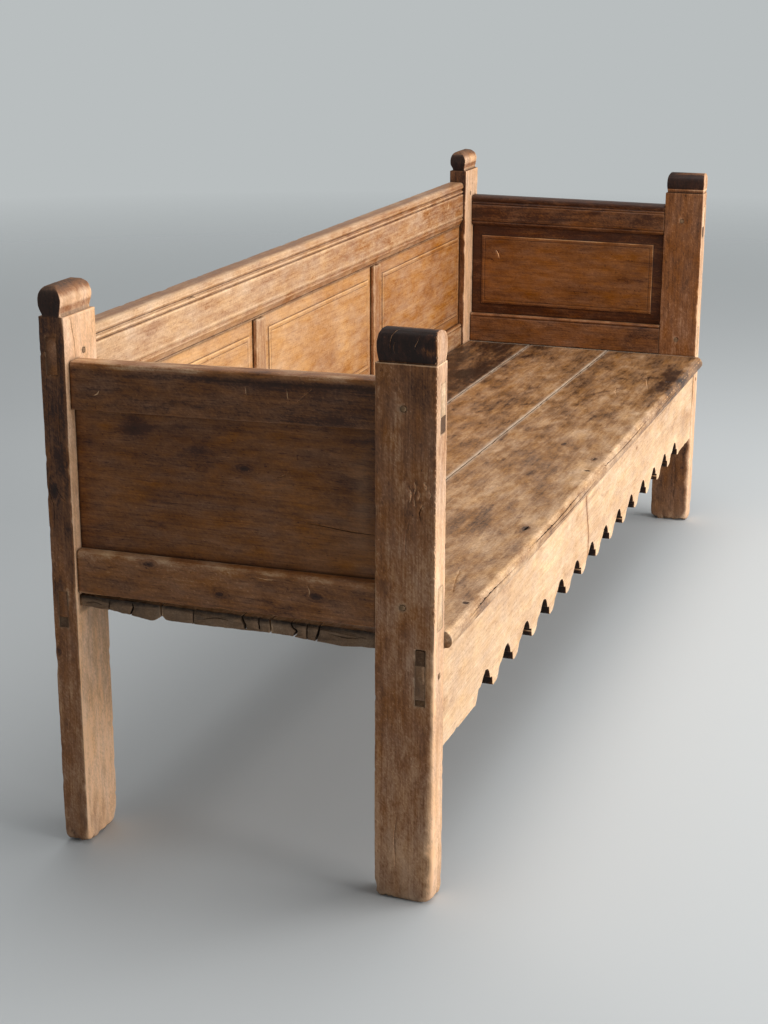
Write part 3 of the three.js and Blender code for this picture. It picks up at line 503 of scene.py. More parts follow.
def worn_down(rings, axis, seed, share=1.0, dents=60):
    """Rings with their wood worn off, each one staying in its own plane."""
    depth = hollows(rings.reshape(-1, 3), axis, seed, share, dents)
    depth = depth.reshape(rings.shape[:2])
    size = np.ptp(rings, axis=1)
    size[:, axis] = np.inf
    depth = np.minimum(depth, DEEPEST * size.min(axis=1)[:, None])
    into = inward(rings)
    into[..., axis] = 0
    return rings + into * depth[..., None]


def placed(name, mesh):
    """An object for a mesh, in the scene."""
    made = bpy.data.objects.new(name, mesh)
    bpy.context.scene.collection.objects.link(made)
    return made


def reworked(source, target, change):
    """Writes into a mesh what a change makes of another mesh."""
    work = bmesh.new()
    work.from_mesh(source)
    change(work)
    work.to_mesh(target)
    work.free()


def linked(name, vertices, faces):
    """An object from points in the bench's millimetres, its faces turned outwards."""
    mesh = bpy.data.meshes.new(name)
    mesh.from_pydata((vertices * MM + ORIGIN).tolist(), [], faces)
    reworked(mesh, mesh, lambda work: bmesh.ops.recalc_face_normals(work, faces=work.faces))
    return placed(name, mesh)


def solid_of(node):
    """A closed copy of a CAD node, its doubles merged."""
    mesh = bpy.data.meshes.new("solid")
    reworked(
        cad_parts[node].data, mesh,
        lambda work: bmesh.ops.remove_doubles(work, verts=work.verts, dist=WELD),
    )
    return placed("solid", mesh)


def triangulated(mesh):
    """Splits the faces of a mesh that have more than four corners."""
    reworked(mesh, mesh, lambda work: bmesh.ops.triangulate(
        work, faces=[face for face in work.faces if len(face.verts) > 4],
    ))


def settle(made):
    """Turns what an object's modifiers make into its plain mesh."""
    graph = bpy.context.evaluated_depsgraph_get()
    mesh = bpy.data.meshes.new_from_object(made.evaluated_get(graph))
    made.modifiers.clear()
    made.data = mesh


def combined(made, other, operation):
    """Cuts or intersects an object with another, which is used up."""
    modifier = made.modifiers.new(operation, "BOOLEAN")
    modifier.operation = operation
    modifier.solver = "EXACT"
    modifier.object = other
    settle(made)
    bpy.data.objects.remove(other)
    if not made.data.polygons:
        raise RuntimeError(f"nothing is left of {made.name}")


def relief(mesh, points, normals):
    """How hollow (1) or sharp (-1) the surface is at each vertex."""
    edges = np.empty(len(mesh.edges) * 2, np.int64)
    mesh.edges.foreach_get("vertices", edges)
    first, second = edges.reshape(-1, 2).T
    run = points[second] - points[first]
    run /= np.linalg.norm(run, axis=1, keepdims=True) + 1e-9
    total = np.zeros(len(points))
    count = np.full(len(points), 1e-9)
    for here, there, way in ((first, second, run), (second, first, -run)):
        np.add.at(total, here, (normals[here] * way).sum(1))
        np.add.at(count, here, 1)
    value = total / count
    total = value.copy()
    count = np.ones(len(points))
    for here, there in ((first, second), (second, first)):
        np.add.at(total, here, value[there])
        np.add.at(count, here, 1)
    return total / count


def closeness(points, nodes):
    """1 where a point touches a piece other than its own, 0 beyond the reach of the dirt and painted
    shade.
    """
    vertices, faces = [], []
    for name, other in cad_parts.items():
        if name not in nodes:
            start = len(vertices)
            vertices += [v.co for v in other.data.vertices]
            faces += [[start + i for i in face.vertices] for face in other.data.polygons]
    tree = BVHTree.FromPolygons(vertices, faces)
    reach = DIRT_AND_SHADE_REACH * MM
    made = np.zeros(len(points))
    for i, point in enumerate(points):
        distance = tree.find_nearest(Vector(point), reach)[3]
        if distance is not None:
            made[i] = 1 - distance / reach
    return made


def write(mesh, name, kind, values):
    """Writes a value or a vector for each vertex of a mesh."""
    attribute = mesh.attributes.new(name, kind, "POINT")
    field = "vector" if kind == "FLOAT_VECTOR" else "value"
    attribute.data.foreach_set(field, np.ascontiguousarray(values, np.float32).ravel())


def shape_of(mesh):
    """Points and faces of a mesh, each face as four corners."""
    points = np.empty(len(mesh.vertices) * 3)
    mesh.vertices.foreach_get("co", points)
    faces = np.array([(*face.vertices, face.vertices[-1])[:4] for face in mesh.polygons])
    return points.reshape(-1, 3), faces


def tree_of(shape):
    """A search tree over a shape's faces."""
    points, faces = shape
    return BVHTree.FromPolygons(points.tolist(), faces.tolist())


def cut_into(made, cuts, seed):
    """Cuts jagged wedges that follow the surface and run out at both ends."""
    vertices, faces = [], []
    tree = tree_of(shape_of(made.data))
    for number, (path, into, depth, width) in enumerate(cuts):
        line = smooth_through(path, 5)
        into = np.array(into, float)
        into /= np.linalg.norm(into)
        for i, point in enumerate(line):
            start = Vector((point - into * CUT_SEARCH) * MM + ORIGIN)
            found = tree.ray_cast(start, Vector(into), 2 * CUT_SEARCH * MM)[0]
            if found is not None:
                line[i] = on_bench(found)
        side = np.cross(np.gradient(line, axis=0), into)
        side /= np.linalg.norm(side, axis=1, keepdims=True)
        line = line + side * (CUT_JAG * wander(line, CUT_JAG_WAVE, seed + number))[:, None]
        taper = np.sin(np.linspace(0.05, 0.95, len(line)) * math.pi)[:, None] ** 0.8
        half = side * taper * width / 2
        low, above = into * depth * taper, into * CUT_ABOVE
        waist, down = half * CUT_WAIST, low * CUT_WAIST_DEPTH
        rings = np.stack([
            line - half - above, line + half - above, line + waist + down, line + low,
            line - waist + down,
        ], axis=1)
        skin, quads = skinned(rings, poles=False)
        start = sum(len(part) for part in vertices)
        vertices.append(skin)
        faces += [[start + i for i in face] for face in quads]
    combined(made, linked("cuts", np.vstack(vertices), faces), "DIFFERENCE")


def chips_along(runs, seed):
    """Short pale chips struck off along arrises, as cuts that never touch one another."""
    rng = np.random.default_rng(seed + 70)
    cuts = []
    for start, stop, into, pitch, most in runs:
        start, stop = np.array(start, float), np.array(stop, float)
        length = np.linalg.norm(stop - start)
        way = (stop - start) / length
        for place in np.arange(pitch / 2, length - pitch / 2, pitch):
            middle = start + way * (place + rng.uniform(-0.12, 0.12) * pitch)
            half = way * pitch * rng.uniform(0.12, 0.34)
            size = most * rng.uniform(0.3, 1)
            cuts.append(([middle - half, middle, middle + half], into, size * 0.5, size))
    return cuts


def carried_over(shape, values, points, laid_bare):
    """Values for the points of a cut mesh, from the shape it had; laid_bare where it is cut."""
    corners, faces = shape
    tree = tree_of(shape)
    found = [tree.find_nearest(Vector(point)) for point in points]
    near = faces[[index for _, _, index, _ in found]]
    cut = np.array([distance for *_, distance in found]) > BARE_DEPTH * MM
    away = np.linalg.norm(corners[near] - points[:, None], axis=2)
    share = 1 / (away + 1e-6) ** 2
    share /= share.sum(axis=1, keepdims=True)
    made = {name: (value[near] * share).sum(axis=1) for name, value in values.items()}
    for name, value in laid_bare.items():
        made[name] = np.where(cut, value, made[name])
    return made


def nearest_knot(points, knots, order):
    """Each point's offset from its nearest knot, in knot radii, and how far the knot counts."""
    if not knots:
        return np.full((len(points), 3), 9.0), np.zeros(len(points))
    away = np.stack([points - np.array(centre) for centre, _ in knots])
    size = np.array([radius for _, radius in knots])[:, None]
    nearest = (np.linalg.norm(away, axis=2) / size).argmin(axis=0)
    offset = away[nearest, np.arange(len(points))][:, order] / size[nearest]
    far = np.linalg.norm(offset * (0.55, 1, 1), axis=1)
    return offset, np.clip(2 - far / 4, 0, 1)


def painted(mesh, nodes, axis, paint):
    """Tone with painted light and shade, dirt and painted shade, and wear at each vertex of a piece,
    before it is cut.
    """
    points, _ = shape_of(mesh)
    normals = np.empty(len(points) * 3)
    mesh.vertices.foreach_get("normal", normals)
    normals = normals.reshape(-1, 3)
    hollow = relief(mesh, points, normals)
    values = {
        "tone": 0.5, "dry": 0.0, "dust": 0.0, "groove": 0.0, "clean": 0.0,
        "endgrain": end_grain(np.abs(normals[:, axis])),
        # darker where pieces touch and in hollows: dirt, and painted shade where shade falls
        "dirt": closeness(points, nodes) ** 2 + HOLLOW_DIRT_AND_SHADE * np.clip(hollow - 0.04, 0, 1),
        "worn": ARRIS_RUBBED * -hollow - 0.1,
    }
    if paint is not None:
        values.update(paint(on_bench(points), normals))
    values["dirt"] = values["dirt"] * (1 - values["dust"]) * (1 - 0.8 * values["endgrain"])
    # dark lines laid on top: dirt in grooves and cracks, and painted shade in notches, gaps, quirks and
    # on the nosing's end
    values["dirt"] = values["dirt"] * (1 - values.pop("clean")) + values.pop("groove")
    return {
        name: np.clip(np.broadcast_to(value, len(points)), 0, 1) for name, value in values.items()
    }


def dress(made, nodes, slot, axis, seed, paint=None, pith=(30.0, 70.0)):
    """Gives a piece its grain, its tone with painted light and shade, its dirt and painted shade, its
    wear, its finish, and its place on the frame.
    """
    triangulated(made.data)
    values = painted(made.data, nodes, axis, paint)
    order = [axis, *[i for i in range(3) if i != axis]]
    centre = on_bench(shape_of(made.data)[0]).mean(0)[order]
    for cuts, laid_bare in (
        # crack insides darkened: dirt and painted shade
        (CRACKS.get(made.name), {"dirt": 1.0}),
        (SCRATCHES.get(made.name), {"tone": 0.9, "dirt": 0.0}),
        (chips_along(CHIPS.get(made.name, ()), seed), {"tone": 0.8, "dirt": 0.0}),
    ):
        if cuts:
            shape = shape_of(made.data)
            cut_into(made, cuts, seed)
            triangulated(made.data)
            values = carried_over(shape, values, shape_of(made.data)[0], laid_bare)

    mesh = made.data
    for polygon in mesh.polygons:
        polygon.use_smooth = True
    mesh.set_sharp_from_angle(angle=SHARP)
    bench = on_bench(shape_of(mesh)[0])
    rng = np.random.default_rng(seed)
    # the log's middle lies somewhere beside the piece, further off than its own width
    grain = bench[:, order] - centre
    grain[:, 0] += rng.uniform(0, 9000)
    grain[:, 1] += rng.uniform(-1, 1) * pith[0]
    grain[:, 2] += rng.choice((-1, 1)) * rng.uniform(0.6, 1) * pith[1]
    offset, counts = nearest_knot(bench, KNOTS.get(made.name, ()), order)
    write(mesh, "grain", "FLOAT_VECTOR", grain)
    write(mesh, "knot", "FLOAT_VECTOR", offset)
    for name, value in {"knotty": counts, **values}.items():
        write(mesh, name, "FLOAT", value)
    mesh.materials.clear()
    mesh.materials.append(bpy.data.materials[FINISHES[slot]])
    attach(made, "root")
    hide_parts(*nodes)


def timber(
    name, node, rings, axis, slot, seed, paint=None, share=1.0, dents=60, pith=(30, 70),
    moulded=False, ends=None,
):
    """A piece of wood: its form worn down, cut to its CAD node and dressed."""
    worn = worn_down(rings, axis, seed, share, dents)
    if ends is not None:
        worn = ends(worn)
    skin = skinned(worn, poles=False) if moulded else skinned(capped(worn))
    made = linked(name, *skin)
    combined(made, solid_of(node), "INTERSECT")
    dress(made, [node], slot, axis, seed, paint, pith)


def stations(low, high, step):
    """Even places from one end to the other, about a step apart."""
    return np.linspace(low, high, max(2, round((high - low) / step) + 1))


def run_of(points, places, axis, seed, step=4.5, fine=0.35):
    """Rings of one section along a rail; mouldings keep finer arrises than its outer corners."""
    corners = np.broadcast_to(np.array(points, float), (len(places), len(points), 2)).copy()
    ahead = np.linalg.norm(np.roll(corners[0], -1, axis=0) - corners[0], axis=1)
    near = np.minimum(ahead, np.roll(ahead, 1))
    radii = arrises(places, len(points), seed)
    radii[:, near < 6] = fine + 0.5 * near[near < 6]
    return laid(rounded(corners, radii, step), places, axis)


def bar(name, node, axis, slot, seeds, pitch, step=4.5, fine=0.35, **more):
    """A straight piece with four sides, as long and wide as its CAD node."""
    low, high = box(node)
    (a, c), (b, d) = np.delete(low, axis), np.delete(high, axis)
    places = stations(low[axis] + 0.5, high[axis] - 0.5, pitch)
    rings = run_of([(a, c), (b, c), (b, d), (a, d)], places, axis, seeds[0], step, fine)
    timber(name, node, rings, axis, slot, seeds[1], **more)


def stained(points, stains):
    """Soft stains and rubbed patches, each (centre, reach, amount) and, where it is broken up,
    (steady share, broken share, wavelength, seed)."""
    total = 0
    for centre, reach, amount, *broken in stains:
        away = ((points - np.array(centre)) / np.array(reach)) ** 2
        patch = amount * np.exp(-away.sum(1))
        if broken:
            steady, rough, wavelength, seed = broken
            patch = patch * (steady + rough * wander(points, wavelength, seed))
        total = total + patch
    return total


def front_of(normals):
    """How much a face looks to the front, where the window light and the hands come from; the paints
    use it to paint faces that look to the front paler, as painted light.
    """
    return np.clip(-normals[:, 1], 0, 1) ** 0.7


def tenon_end(x):
    """Whether a point is on the end of a tenon that comes through a post's outer face."""
    return np.abs(x - LENGTH / 2) > LENGTH / 2 - 3


# Posts

# Outlines of the rolls as (across, up) shares
FRONT_ROLL_OUTLINES = (
    [(0.07, 0), (0.05, 0.12), (0.01, 0.4), (0, 0.7), (0.05, 0.88), (0.17, 0.98), (0.35, 1)],
    [(0.94, 0), (0.95, 0.1), (0.99, 0.28), (1, 0.5), (0.98, 0.72), (0.87, 0.9), (0.63, 1)],
    [(0.012, 0), (0, 0.3), (0, 0.65), (0.012, 0.88), (0.04, 1)],
    [(0.95, 0), (0.96, 0.12), (0.975, 0.35), (0.975, 0.6), (0.96, 0.82), (0.92, 1)],
)
BACK_ROLL_OUTLINES = (
    [(0.005, 0), (0, 0.3), (0, 0.6), (0.02, 0.8), (0.09, 0.93), (0.25, 0.99), (0.5, 1)],
    [(0.95, 0), (0.96, 0.12), (0.985, 0.35), (0.985, 0.6), (0.97, 0.8), (0.9, 0.93),
     (0.75, 0.99), (0.5, 1)],
    [(0.14, 0), (0.15, 0.1), (0.1, 0.35), (0.08, 0.55), (0.18, 0.78), (0.37, 0.93), (0.58, 1)],
    [(0.86, 0), (0.87, 0.07), (0.92, 0.16), (0.985, 0.31), (1, 0.45), (0.985, 0.63),
     (0.92, 0.79), (0.79, 0.92), (0.58, 1)],
)
FOOT_INSETS = [(0.25, 5.5), (1.2, 4.2), (2.8, 2.9), (5, 1.7), (8, 0.7), (12, 0.2)]  # (height, inset)
LEDGE_INSETS = [(-0.9, 0.1), (-0.4, 0.7), (-0.1, 0)]  # (height over the shoulder, inset)
SHAFT_START, SHAFT_STEP = 16, 4.0
RUBBED_BELOW = 440  # height under which the front posts' left corner is rubbed round
RUBBED_FADE = 140
FRONT_POST_STAINS = [
    ((2, 20, 926), (9, 15, 8), 0.3, 0.6, 1, 6, 4),
    ((0, 18, 865), (9, 22, 30), 0.1),
    ((2, 2, 390), (9, 9, 60), 0.22, 0.7, 0.6, 9, 4),
    ((4, 4, 60), (14, 14, 70), 0.2, 0.7, 1, 7, 14),
    ((0, 30, 680), (9, 26, 34), 0.2, 0, 1, 6, 3),
    ((0, 20, 850), (9, 26, 26), -0.12),
    ((0, 16, 902), (9, 20, 7), 0.3),
]
FOOT_BITE, FOOT_LIFT = 0.13, 6.5  # share of a foot broken off its sides, mm off its sole
FOOT_BROKEN = 17  # height over which a foot is broken
# Tones as (heights, tones)
FRONT_POST_TONES = (0, 150, 520, 800, 890), (0.57, 0.53, 0.5, 0.43, 0.37)
FAR_POST_PAINTED_SHADE = (0, 300, 600), (0.14, 0.12, 0.03)  # how much darker the far post's faces away from the front are painted, as painted shade
BACK_POST_TONES = (0, 300, 560, 700, 912), (0.48, 0.44, 0.36, 0.26, 0.2)
BACK_POST_LIT_FRONT = (0, 500, 800), (0.44, 0.5, 0.66)  # how much paler its front face is painted, as painted light
# From the shoulder up: pale ledge, darker neck, pale bead, black top; the pale ledge and bead are
# painted highlights
BACK_ROLL_TONES = (0, 3, 6, 14, 18, 30, 38, 50), (0.95, 0.9, 0.56, 0.52, 0.86, 0.82, 0.42, 0.27)
FRONT_LEDGE_HIGHLIGHTS = (0, 45, 97), (0.9, 0.55, 0.35)  # painted highlight on the ledge, from the front to the back


def outline_at(shares, heights):
    """Where an outline of (across, up) shares stands at each height share."""
    line = smooth_through(shares)
    order = np.argsort(line[:, 1])
    return np.interp(heights, line[order, 1], line[order, 0])


def post_rings(low, high, roll, outlines, seed):
    """Rings up a post: a worn foot, a straight shaft, a shoulder and the roll on it."""
    shoulder = high[2] - roll
    foot = np.array(FOOT_INSETS)
    shaft = np.arange(SHAFT_START, shoulder - 1.2, SHAFT_STEP)
    ledge = np.array([(shoulder + up, inset) for up, inset in LEDGE_INSETS])
    turns = np.sin(np.linspace(0, 1, 34) ** 0.9 * math.pi / 2)
    heights = np.concatenate([foot[:, 0], shaft, ledge[:, 0], shoulder + turns * roll])
    inset = np.concatenate([foot[:, 1], np.zeros(len(shaft)), ledge[:, 1], np.zeros(len(turns))])
    up = np.clip((heights - shoulder) / roll, 0, 1)
    on_roll = heights >= shoulder - 0.2
    part = np.where(heights < shoulder, 0.7, 1)
    spans = []
    for axis in (0, 1):
        near, far = [outline_at(shares, up) for shares in outlines[2 * axis:2 * axis + 2]]
        size = high[axis] - low[axis]
        spans.append((
            np.where(on_roll, low[axis] + near * part * size, low[axis] + inset),
            np.where(on_roll, high[axis] - (1 - far) * part * size, high[axis] - inset),
        ))
    narrow = np.minimum(*[stop - start for start, stop in spans]) < 0.4
    (left, right), (front, back) = [
        (start - 0.2 * narrow, stop + 0.2 * narrow) for start, stop in spans
    ]
    corners = np.stack([
        np.stack(pair, 1)
        for pair in ((left, front), (right, front), (right, back), (left, back))
    ], axis=1)
    radii = arrises(heights, 4, seed)
    radii += FOOT_WEAR * np.exp(-heights / FOOT_REACH)[:, None]
    if roll == FRONT_ROLL:
        climbing = np.column_stack([heights * 0, heights * 0, heights])
        rubbed = 7 + 3 * wander(climbing, 60, seed + 2) + 3 * wander(climbing, 11, seed + 3)
        radii[:, 0] += ramped(RUBBED_BELOW - heights, RUBBED_FADE) * rubbed
    return laid(rounded(corners, radii, 4.2), heights, 2)


def ragged_foot(rings):
    """Rings of a post whose foot is broken unevenly on the floor."""
    points = rings.reshape(-1, 3).copy()
    lift = np.clip(0.3 + wander(points * (1, 1, 0), 15, 8) + 0.5 * wander(points, 5, 9), 0, None)
    low = np.exp(-points[:, 2] / FOOT_BROKEN)
    middle = points[:, :2].reshape(*rings.shape[:2], 2).mean(axis=1).repeat(rings.shape[1], axis=0)
    bite = np.clip(0.2 + wander(points, (11, 11, 18), 12) + 0.5 * wander(points, 5, 13), 0, None)
    points[:, :2] += (middle - points[:, :2]) * (FOOT_BITE * bite * low)[:, None]
    points[:, 2] += FOOT_LIFT * lift * low
    return points.reshape(rings.shape)


def on_roll(height, top, roll):
    """Height over a post's shoulder, and 1 where that is on its roll."""
    up = height - top + roll
    return up, ramped(up + 0.4, 0.8)


def front_post_paint(points, normals):
    """A roll painted black where it looks away from the front, as painted shade, with a pale front end;
    faces in front painted paler, as painted light; a painted highlight on the ledge; a dry, greyer
    foot.
    """
    x, y, height = points.T
    front = front_of(normals)
    up, roll = on_roll(height, FRONT_POST[2], FRONT_ROLL)
    tone = np.interp(height, *FRONT_POST_TONES)
    # faces that look to the front painted paler: painted light from the window
    tone = tone + 0.33 * front + 0.05 * wander(points, (60, 60, 240), 5)
    # the far posts painted darker where they look away from the front: painted shade
    far = x > LENGTH / 2
    tone -= far * np.interp(height, *FAR_POST_PAINTED_SHADE) * (1 - front)
    # the roll painted darker where it looks away from the front: painted shade
    tone -= roll * (1 - front) * 0.4
    tone += stained(points, FRONT_POST_STAINS)
    # a pale line on the ledge, palest at the front: a painted highlight
    ledge = closed_in(up, -0.3, 0.8, 1.5)
    tone += ledge * np.interp(y, *FRONT_LEDGE_HIGHLIGHTS)
    tone += 0.2 * (0.5 + 0.5 * wander(points, 8, 2)) * np.exp(-height / 20)
    return {"tone": tone, "dry": 0.6 * np.exp(-height / 70) + 0.4 * np.exp(-height / 14)}


def back_post_paint(points, normals):
    """Dark outer faces, a front face painted pale as painted light, and a roll with painted highlights
    and shade along it, black only at its ends as painted shade.
    """
    height = points[:, 2]
    front = front_of(normals)
    up, roll = on_roll(height, BACK_POST[1][2], BACK_ROLL)
    side = np.clip(np.abs(normals[:, 0]) * 1.6 - 0.5, 0, 1)
    tone = np.interp(height, *BACK_POST_TONES)
    # front face painted paler: painted light from the window
    tone = tone + np.interp(height, *BACK_POST_LIT_FRONT) * front
    tone += 0.05 * wander(points, (60, 60, 240), 6)
    # tones painted along the roll: painted highlights on the ledge and bead
    shaped = np.interp(up, *BACK_ROLL_TONES)
    shaped = shaped + 0.07 * wander(points, (34, 14, 14), 7)
    # the roll's ends painted nearly black: end grain in painted shade
    tone = tone * (1 - roll) + roll * (shaped * (1 - side) + 0.04 * side)
    # a pale line at the shoulder: a painted highlight
    tone += 0.2 * closed_in(up, 0, 1.4) * (1 - side)
    dry = 0.6 * np.exp(-height / 80) + 0.4 * roll * np.clip(normals[:, 2] + 0.1, 0, 1)
    return {"tone": tone, "dry": dry}


class BENCH_OT_posts(bpy.types.Operator):
    """Makes the four posts with their rolls"""

    bl_idname = "bench.posts"
    bl_label = "Posts"

    def execute(self, context):
        for side, (kind, roll, outlines, paint, seed) in product(SIDES, (
            ("front", FRONT_ROLL, FRONT_ROLL_OUTLINES, front_post_paint, 11),
            ("back", BACK_ROLL, BACK_ROLL_OUTLINES, back_post_paint, 31),
        )):
            near, far, *others = outlines
            if side == "right":
                mirrored = [[(1 - across, up) for across, up in shares] for shares in (far, near)]
                near, far = mirrored
            node = f"post_{kind}_{side}"
            seed += len(side)
            rings = post_rings(*box(node), roll, (near, far, *others), seed)
            timber(
                f"{kind}_post_{side}", node, rings, 2, "post_wood", seed + 10, paint,
                ends=ragged_foot,
            )
        return {"FINISHED"}


# Rails of the back

# Sections of the mouldings as (behind, down) shares, from the top edge down
CREST_EDGE = [
    (1, 0), (0.66, 0.02), (0.4, 0.06), (0.22, 0.11), (0.1, 0.19), (0.03, 0.27), (0, 0.36),
    (0.03, 0.44), (0.12, 0.5), (0.33, 0.56), (0.33, 0.65), (0.15, 0.69), (0.05, 0.77),
    (0.15, 0.85), (0.31, 0.89), (0.31, 0.93), (0.02, 1),
]
CREST_FOOT = [
    (0, 0), (0.28, 0.06), (0.28, 0.1), (0.1, 0.18), (0.06, 0.24), (0.1, 0.3), (0.35, 0.42),
    (0.52, 0.52), (0.75, 0.7), (0.9, 0.8), (1, 0.9), (1, 1),
]
ARM_EDGE = [
    (1, 0), (0.72, 0.015), (0.5, 0.04), (0.3, 0.09), (0.15, 0.16), (0.04, 0.26), (0, 0.36),
    (0.03, 0.46), (0.1, 0.54), (0.3, 0.6), (0.3, 0.7), (0.12, 0.76), (0.08, 0.82),
    (0.12, 0.88), (0.25, 0.93), (0, 1),
]
ARM_FOOT = [
    (0, 0), (0.4, 0.1), (0.4, 0.18), (0.1, 0.35), (0.2, 0.6), (0.55, 0.77), (0.9, 0.9), (1, 1),
]
RAIL_BEAD = [
    (1, 0), (0.62, 0.03), (0.35, 0.08), (0.14, 0.16), (0.05, 0.25), (0.05, 0.4),
    (0.45, 0.5), (0.45, 0.62), (0.2, 0.68), (0.1, 0.75), (0.02, 1),
]
# How far below the crest's top its dark grooves, of dirt and painted shade, and its pale beads, painted
# highlights, run
CREST_GROOVES = (18.5, 30, 88, 111)
CREST_HIGHLIGHTS = (12, 24.5, 33, 85)


def moulding(shares, depth, top, height, face):
    """(face coordinate, height) points of a moulding from its top edge down."""
    return [(face(behind * depth + BACK_OFF), top - down * height) for behind, down in shares]


def rail_paint(points, normals):
    """Paler where it looks to the front and darker towards the far end, as painted light and shade;
    pale beads and dark grooves; a grey, handled top; dark tenon ends.
    """
    front = front_of(normals)
    end = tenon_end(points[:, 0])
    below = CREST[1][2] - points[:, 2]
    top = np.clip(normals[:, 2], 0, 1) * ramped(12 - below, 8)
    # faces that look to the front painted paler, less so towards the far end: painted light and shade
    tone = 0.24 + (0.5 - 0.24 * points[:, 0] / LENGTH) * front
    tone = tone + 0.2 * top + 0.07 * wander(points, (260, 60, 60), 15)
    # dark lines in the grooves, dirt and painted shade, and pale lines on the beads, painted
    # highlights, on the front only
    grooves = sum(closed_in(below, depth, 1.1, 1.2) for depth in CREST_GROOVES)
    lights = sum(closed_in(below, depth, 1.6, 1.2) for depth in CREST_HIGHLIGHTS)
    tone += 0.12 * lights * front
    return {
        "tone": np.where(end, 0.2, tone), "dry": np.where(end, 0, 0.55 * top),
        "clean": 0.6 * end, "groove": 0.8 * grooves * front,
    }


def muntin_paint(points, normals):
    """Honey wood in front and on its sides, dark behind and darker towards the far end, as painted
    shade.
    """
    # darker towards the far end and behind: painted shade
    tone = 0.66 - 0.2 * points[:, 0] / LENGTH + 0.07 * wander(points, (30, 30, 160), 16)
    return {"tone": tone - 0.36 * (normals[:, 1] > 0.3)}


class BENCH_OT_back_frame(bpy.types.Operator):
    """Makes the crest rail, the bottom rail and the muntins of the back"""

    bl_idname = "bench.back_frame"
    bl_label = "Frame of the back"

    def execute(self, context):
        face, rear = CREST[0][1], CREST[1][1]
        places = stations(CREST[0][0] + 0.6, CREST[1][0] - 0.6, 7)
        behind = lambda depth: face + depth
        for name, node, seed, dents, front in (
            ("crest", "crest_rail", 51, 120, lambda bottom, top: [
                *moulding(CREST_EDGE, 10, top, 32, behind),
                *moulding(CREST_FOOT, 8.5, bottom + 25, 25, behind),
            ]),
            ("sill", "back_bottom_rail", 54, 60, lambda bottom, top: [
                *moulding(RAIL_BEAD, 6, top, 15, behind), (face, bottom),
            ]),
        ):
            (*_, bottom), (*_, top) = box(node)
            points = [(rear, bottom), (rear, top), *front(bottom, top)]
            rings = run_of(points, places, 0, seed)
            timber(name, node, rings, 0, "rail_wood", seed + 1, rail_paint, 0.7, dents, moulded=True)
        for side in SIDES:
            bar(
                f"{side}_muntin", f"muntin_{side}", 2, "rail_wood", (57, 58 + len(side)), 5,
                paint=muntin_paint, share=0.6, dents=20,
            )
        return {"FINISHED"}


# Panels

# Grid lines from a panel's frame inwards, close together at the step round its field
PANEL_GRID = (
    0, 2, 4, 10, 16, 22, 25.2, 26.3, 26.9, 27.4, 28.2, 29.4, 32, 34.8, 36, 37.2, 40,
)
PANEL_STEP = 6
# Face of a panel as (distance past its margin, height before its edges)
PANEL_FACE = [
    (-1.3, 3.4), (-0.5, 3.6), (0, 4.6), (0.5, 5.7), (1.4, 6), (8, 5.9), (9, 5.45), (10, 5.9), (14, 6),
]


def panel_lines(low, high, edge):
    """Grid lines over a panel's width, from one edge in its groove to the other."""
    near = np.array(PANEL_GRID)
    inner = stations(low + near[-1], high - near[-1], PANEL_STEP)[1:-1]
    edges = np.array([edge, edge / 2])
    return np.concatenate([low - edges, low + near, inner, high - near[::-1], high + edges[::-1]])


def from_frame(along, up, opening):
    """Distance of a panel's points from the nearest side of the frame round it."""
    (low_a, high_a), (low_b, high_b) = opening
    return np.minimum.reduce([along - low_a, high_a - along, up - low_b, high_b - up])


def panel_height(away):
    """How far a fielded panel's face stands before its edges, by the distance from the frame."""
    line = np.array([(-20, 0), (0, 0), *[(MARGIN + past, up) for past, up in PANEL_FACE]])
    return np.interp(away, line[:, 0], line[:, 1])


def panel_skin(first, second, opening, seed):
    """Points over a panel as (along, up, ahead), and the faces of its closed skin."""
    a, b = np.meshgrid(first, second, indexing="ij")
    flat = np.column_stack([a.ravel(), b.ravel(), np.zeros(a.size)])
    front = panel_height(from_frame(a, b, opening)).ravel() - hollows(flat, 0, seed, 0.55, 50)
    back = -PANEL_THICKNESS + hollows(flat, 0, seed + 40, 0.6, 40)
    points = np.vstack([
        np.column_stack([flat[:, :2], front]), np.column_stack([flat[:, :2], back]),
    ])
    index = np.arange(a.size).reshape(a.shape)
    quads = np.stack([index[:-1, :-1], index[1:, :-1], index[1:, 1:], index[:-1, 1:]], -1)
    quads = quads.reshape(-1, 4)
    faces = quads.tolist() + (quads[:, ::-1] + a.size).tolist()
    rim = np.concatenate([index[0], index[1:, -1], index[-1, -2::-1], index[-2:0:-1, 0]])
    after = np.roll(rim, -1)
    faces += np.stack([rim, after, after + a.size, rim + a.size], 1).tolist()
    return points, faces


def panel(name, node, opening, seeds, axis, pith, paint, set_in):
    """A panel, fielded on one side and flat on the other, set into its opening."""
    lines = [panel_lines(*span, edge) for span, edge in zip(opening, PANEL_EDGES)]
    points, faces = panel_skin(*lines, opening, seeds[0])
    made = linked(name, set_in(*points.T), faces)
    combined(made, solid_of(node), "INTERSECT")
    dress(made, [node], "panel_wood", axis, seeds[1], paint, pith)


def field_lines(away, seen):
    """The pale fillet, a painted highlight, and the dark lines round a panel's field, dirt and painted
    shade, on the side where seen is 1.
    """
    fillet = closed_in(away - MARGIN, 1.3, 1.3, 1.4)
    step = closed_in(away - MARGIN, -0.9, 0.9, 1.3)
    line = closed_in(away - MARGIN, 9, 0.9, 1.3)
    return fillet * seen, np.maximum(step, 0.7 * line) * seen


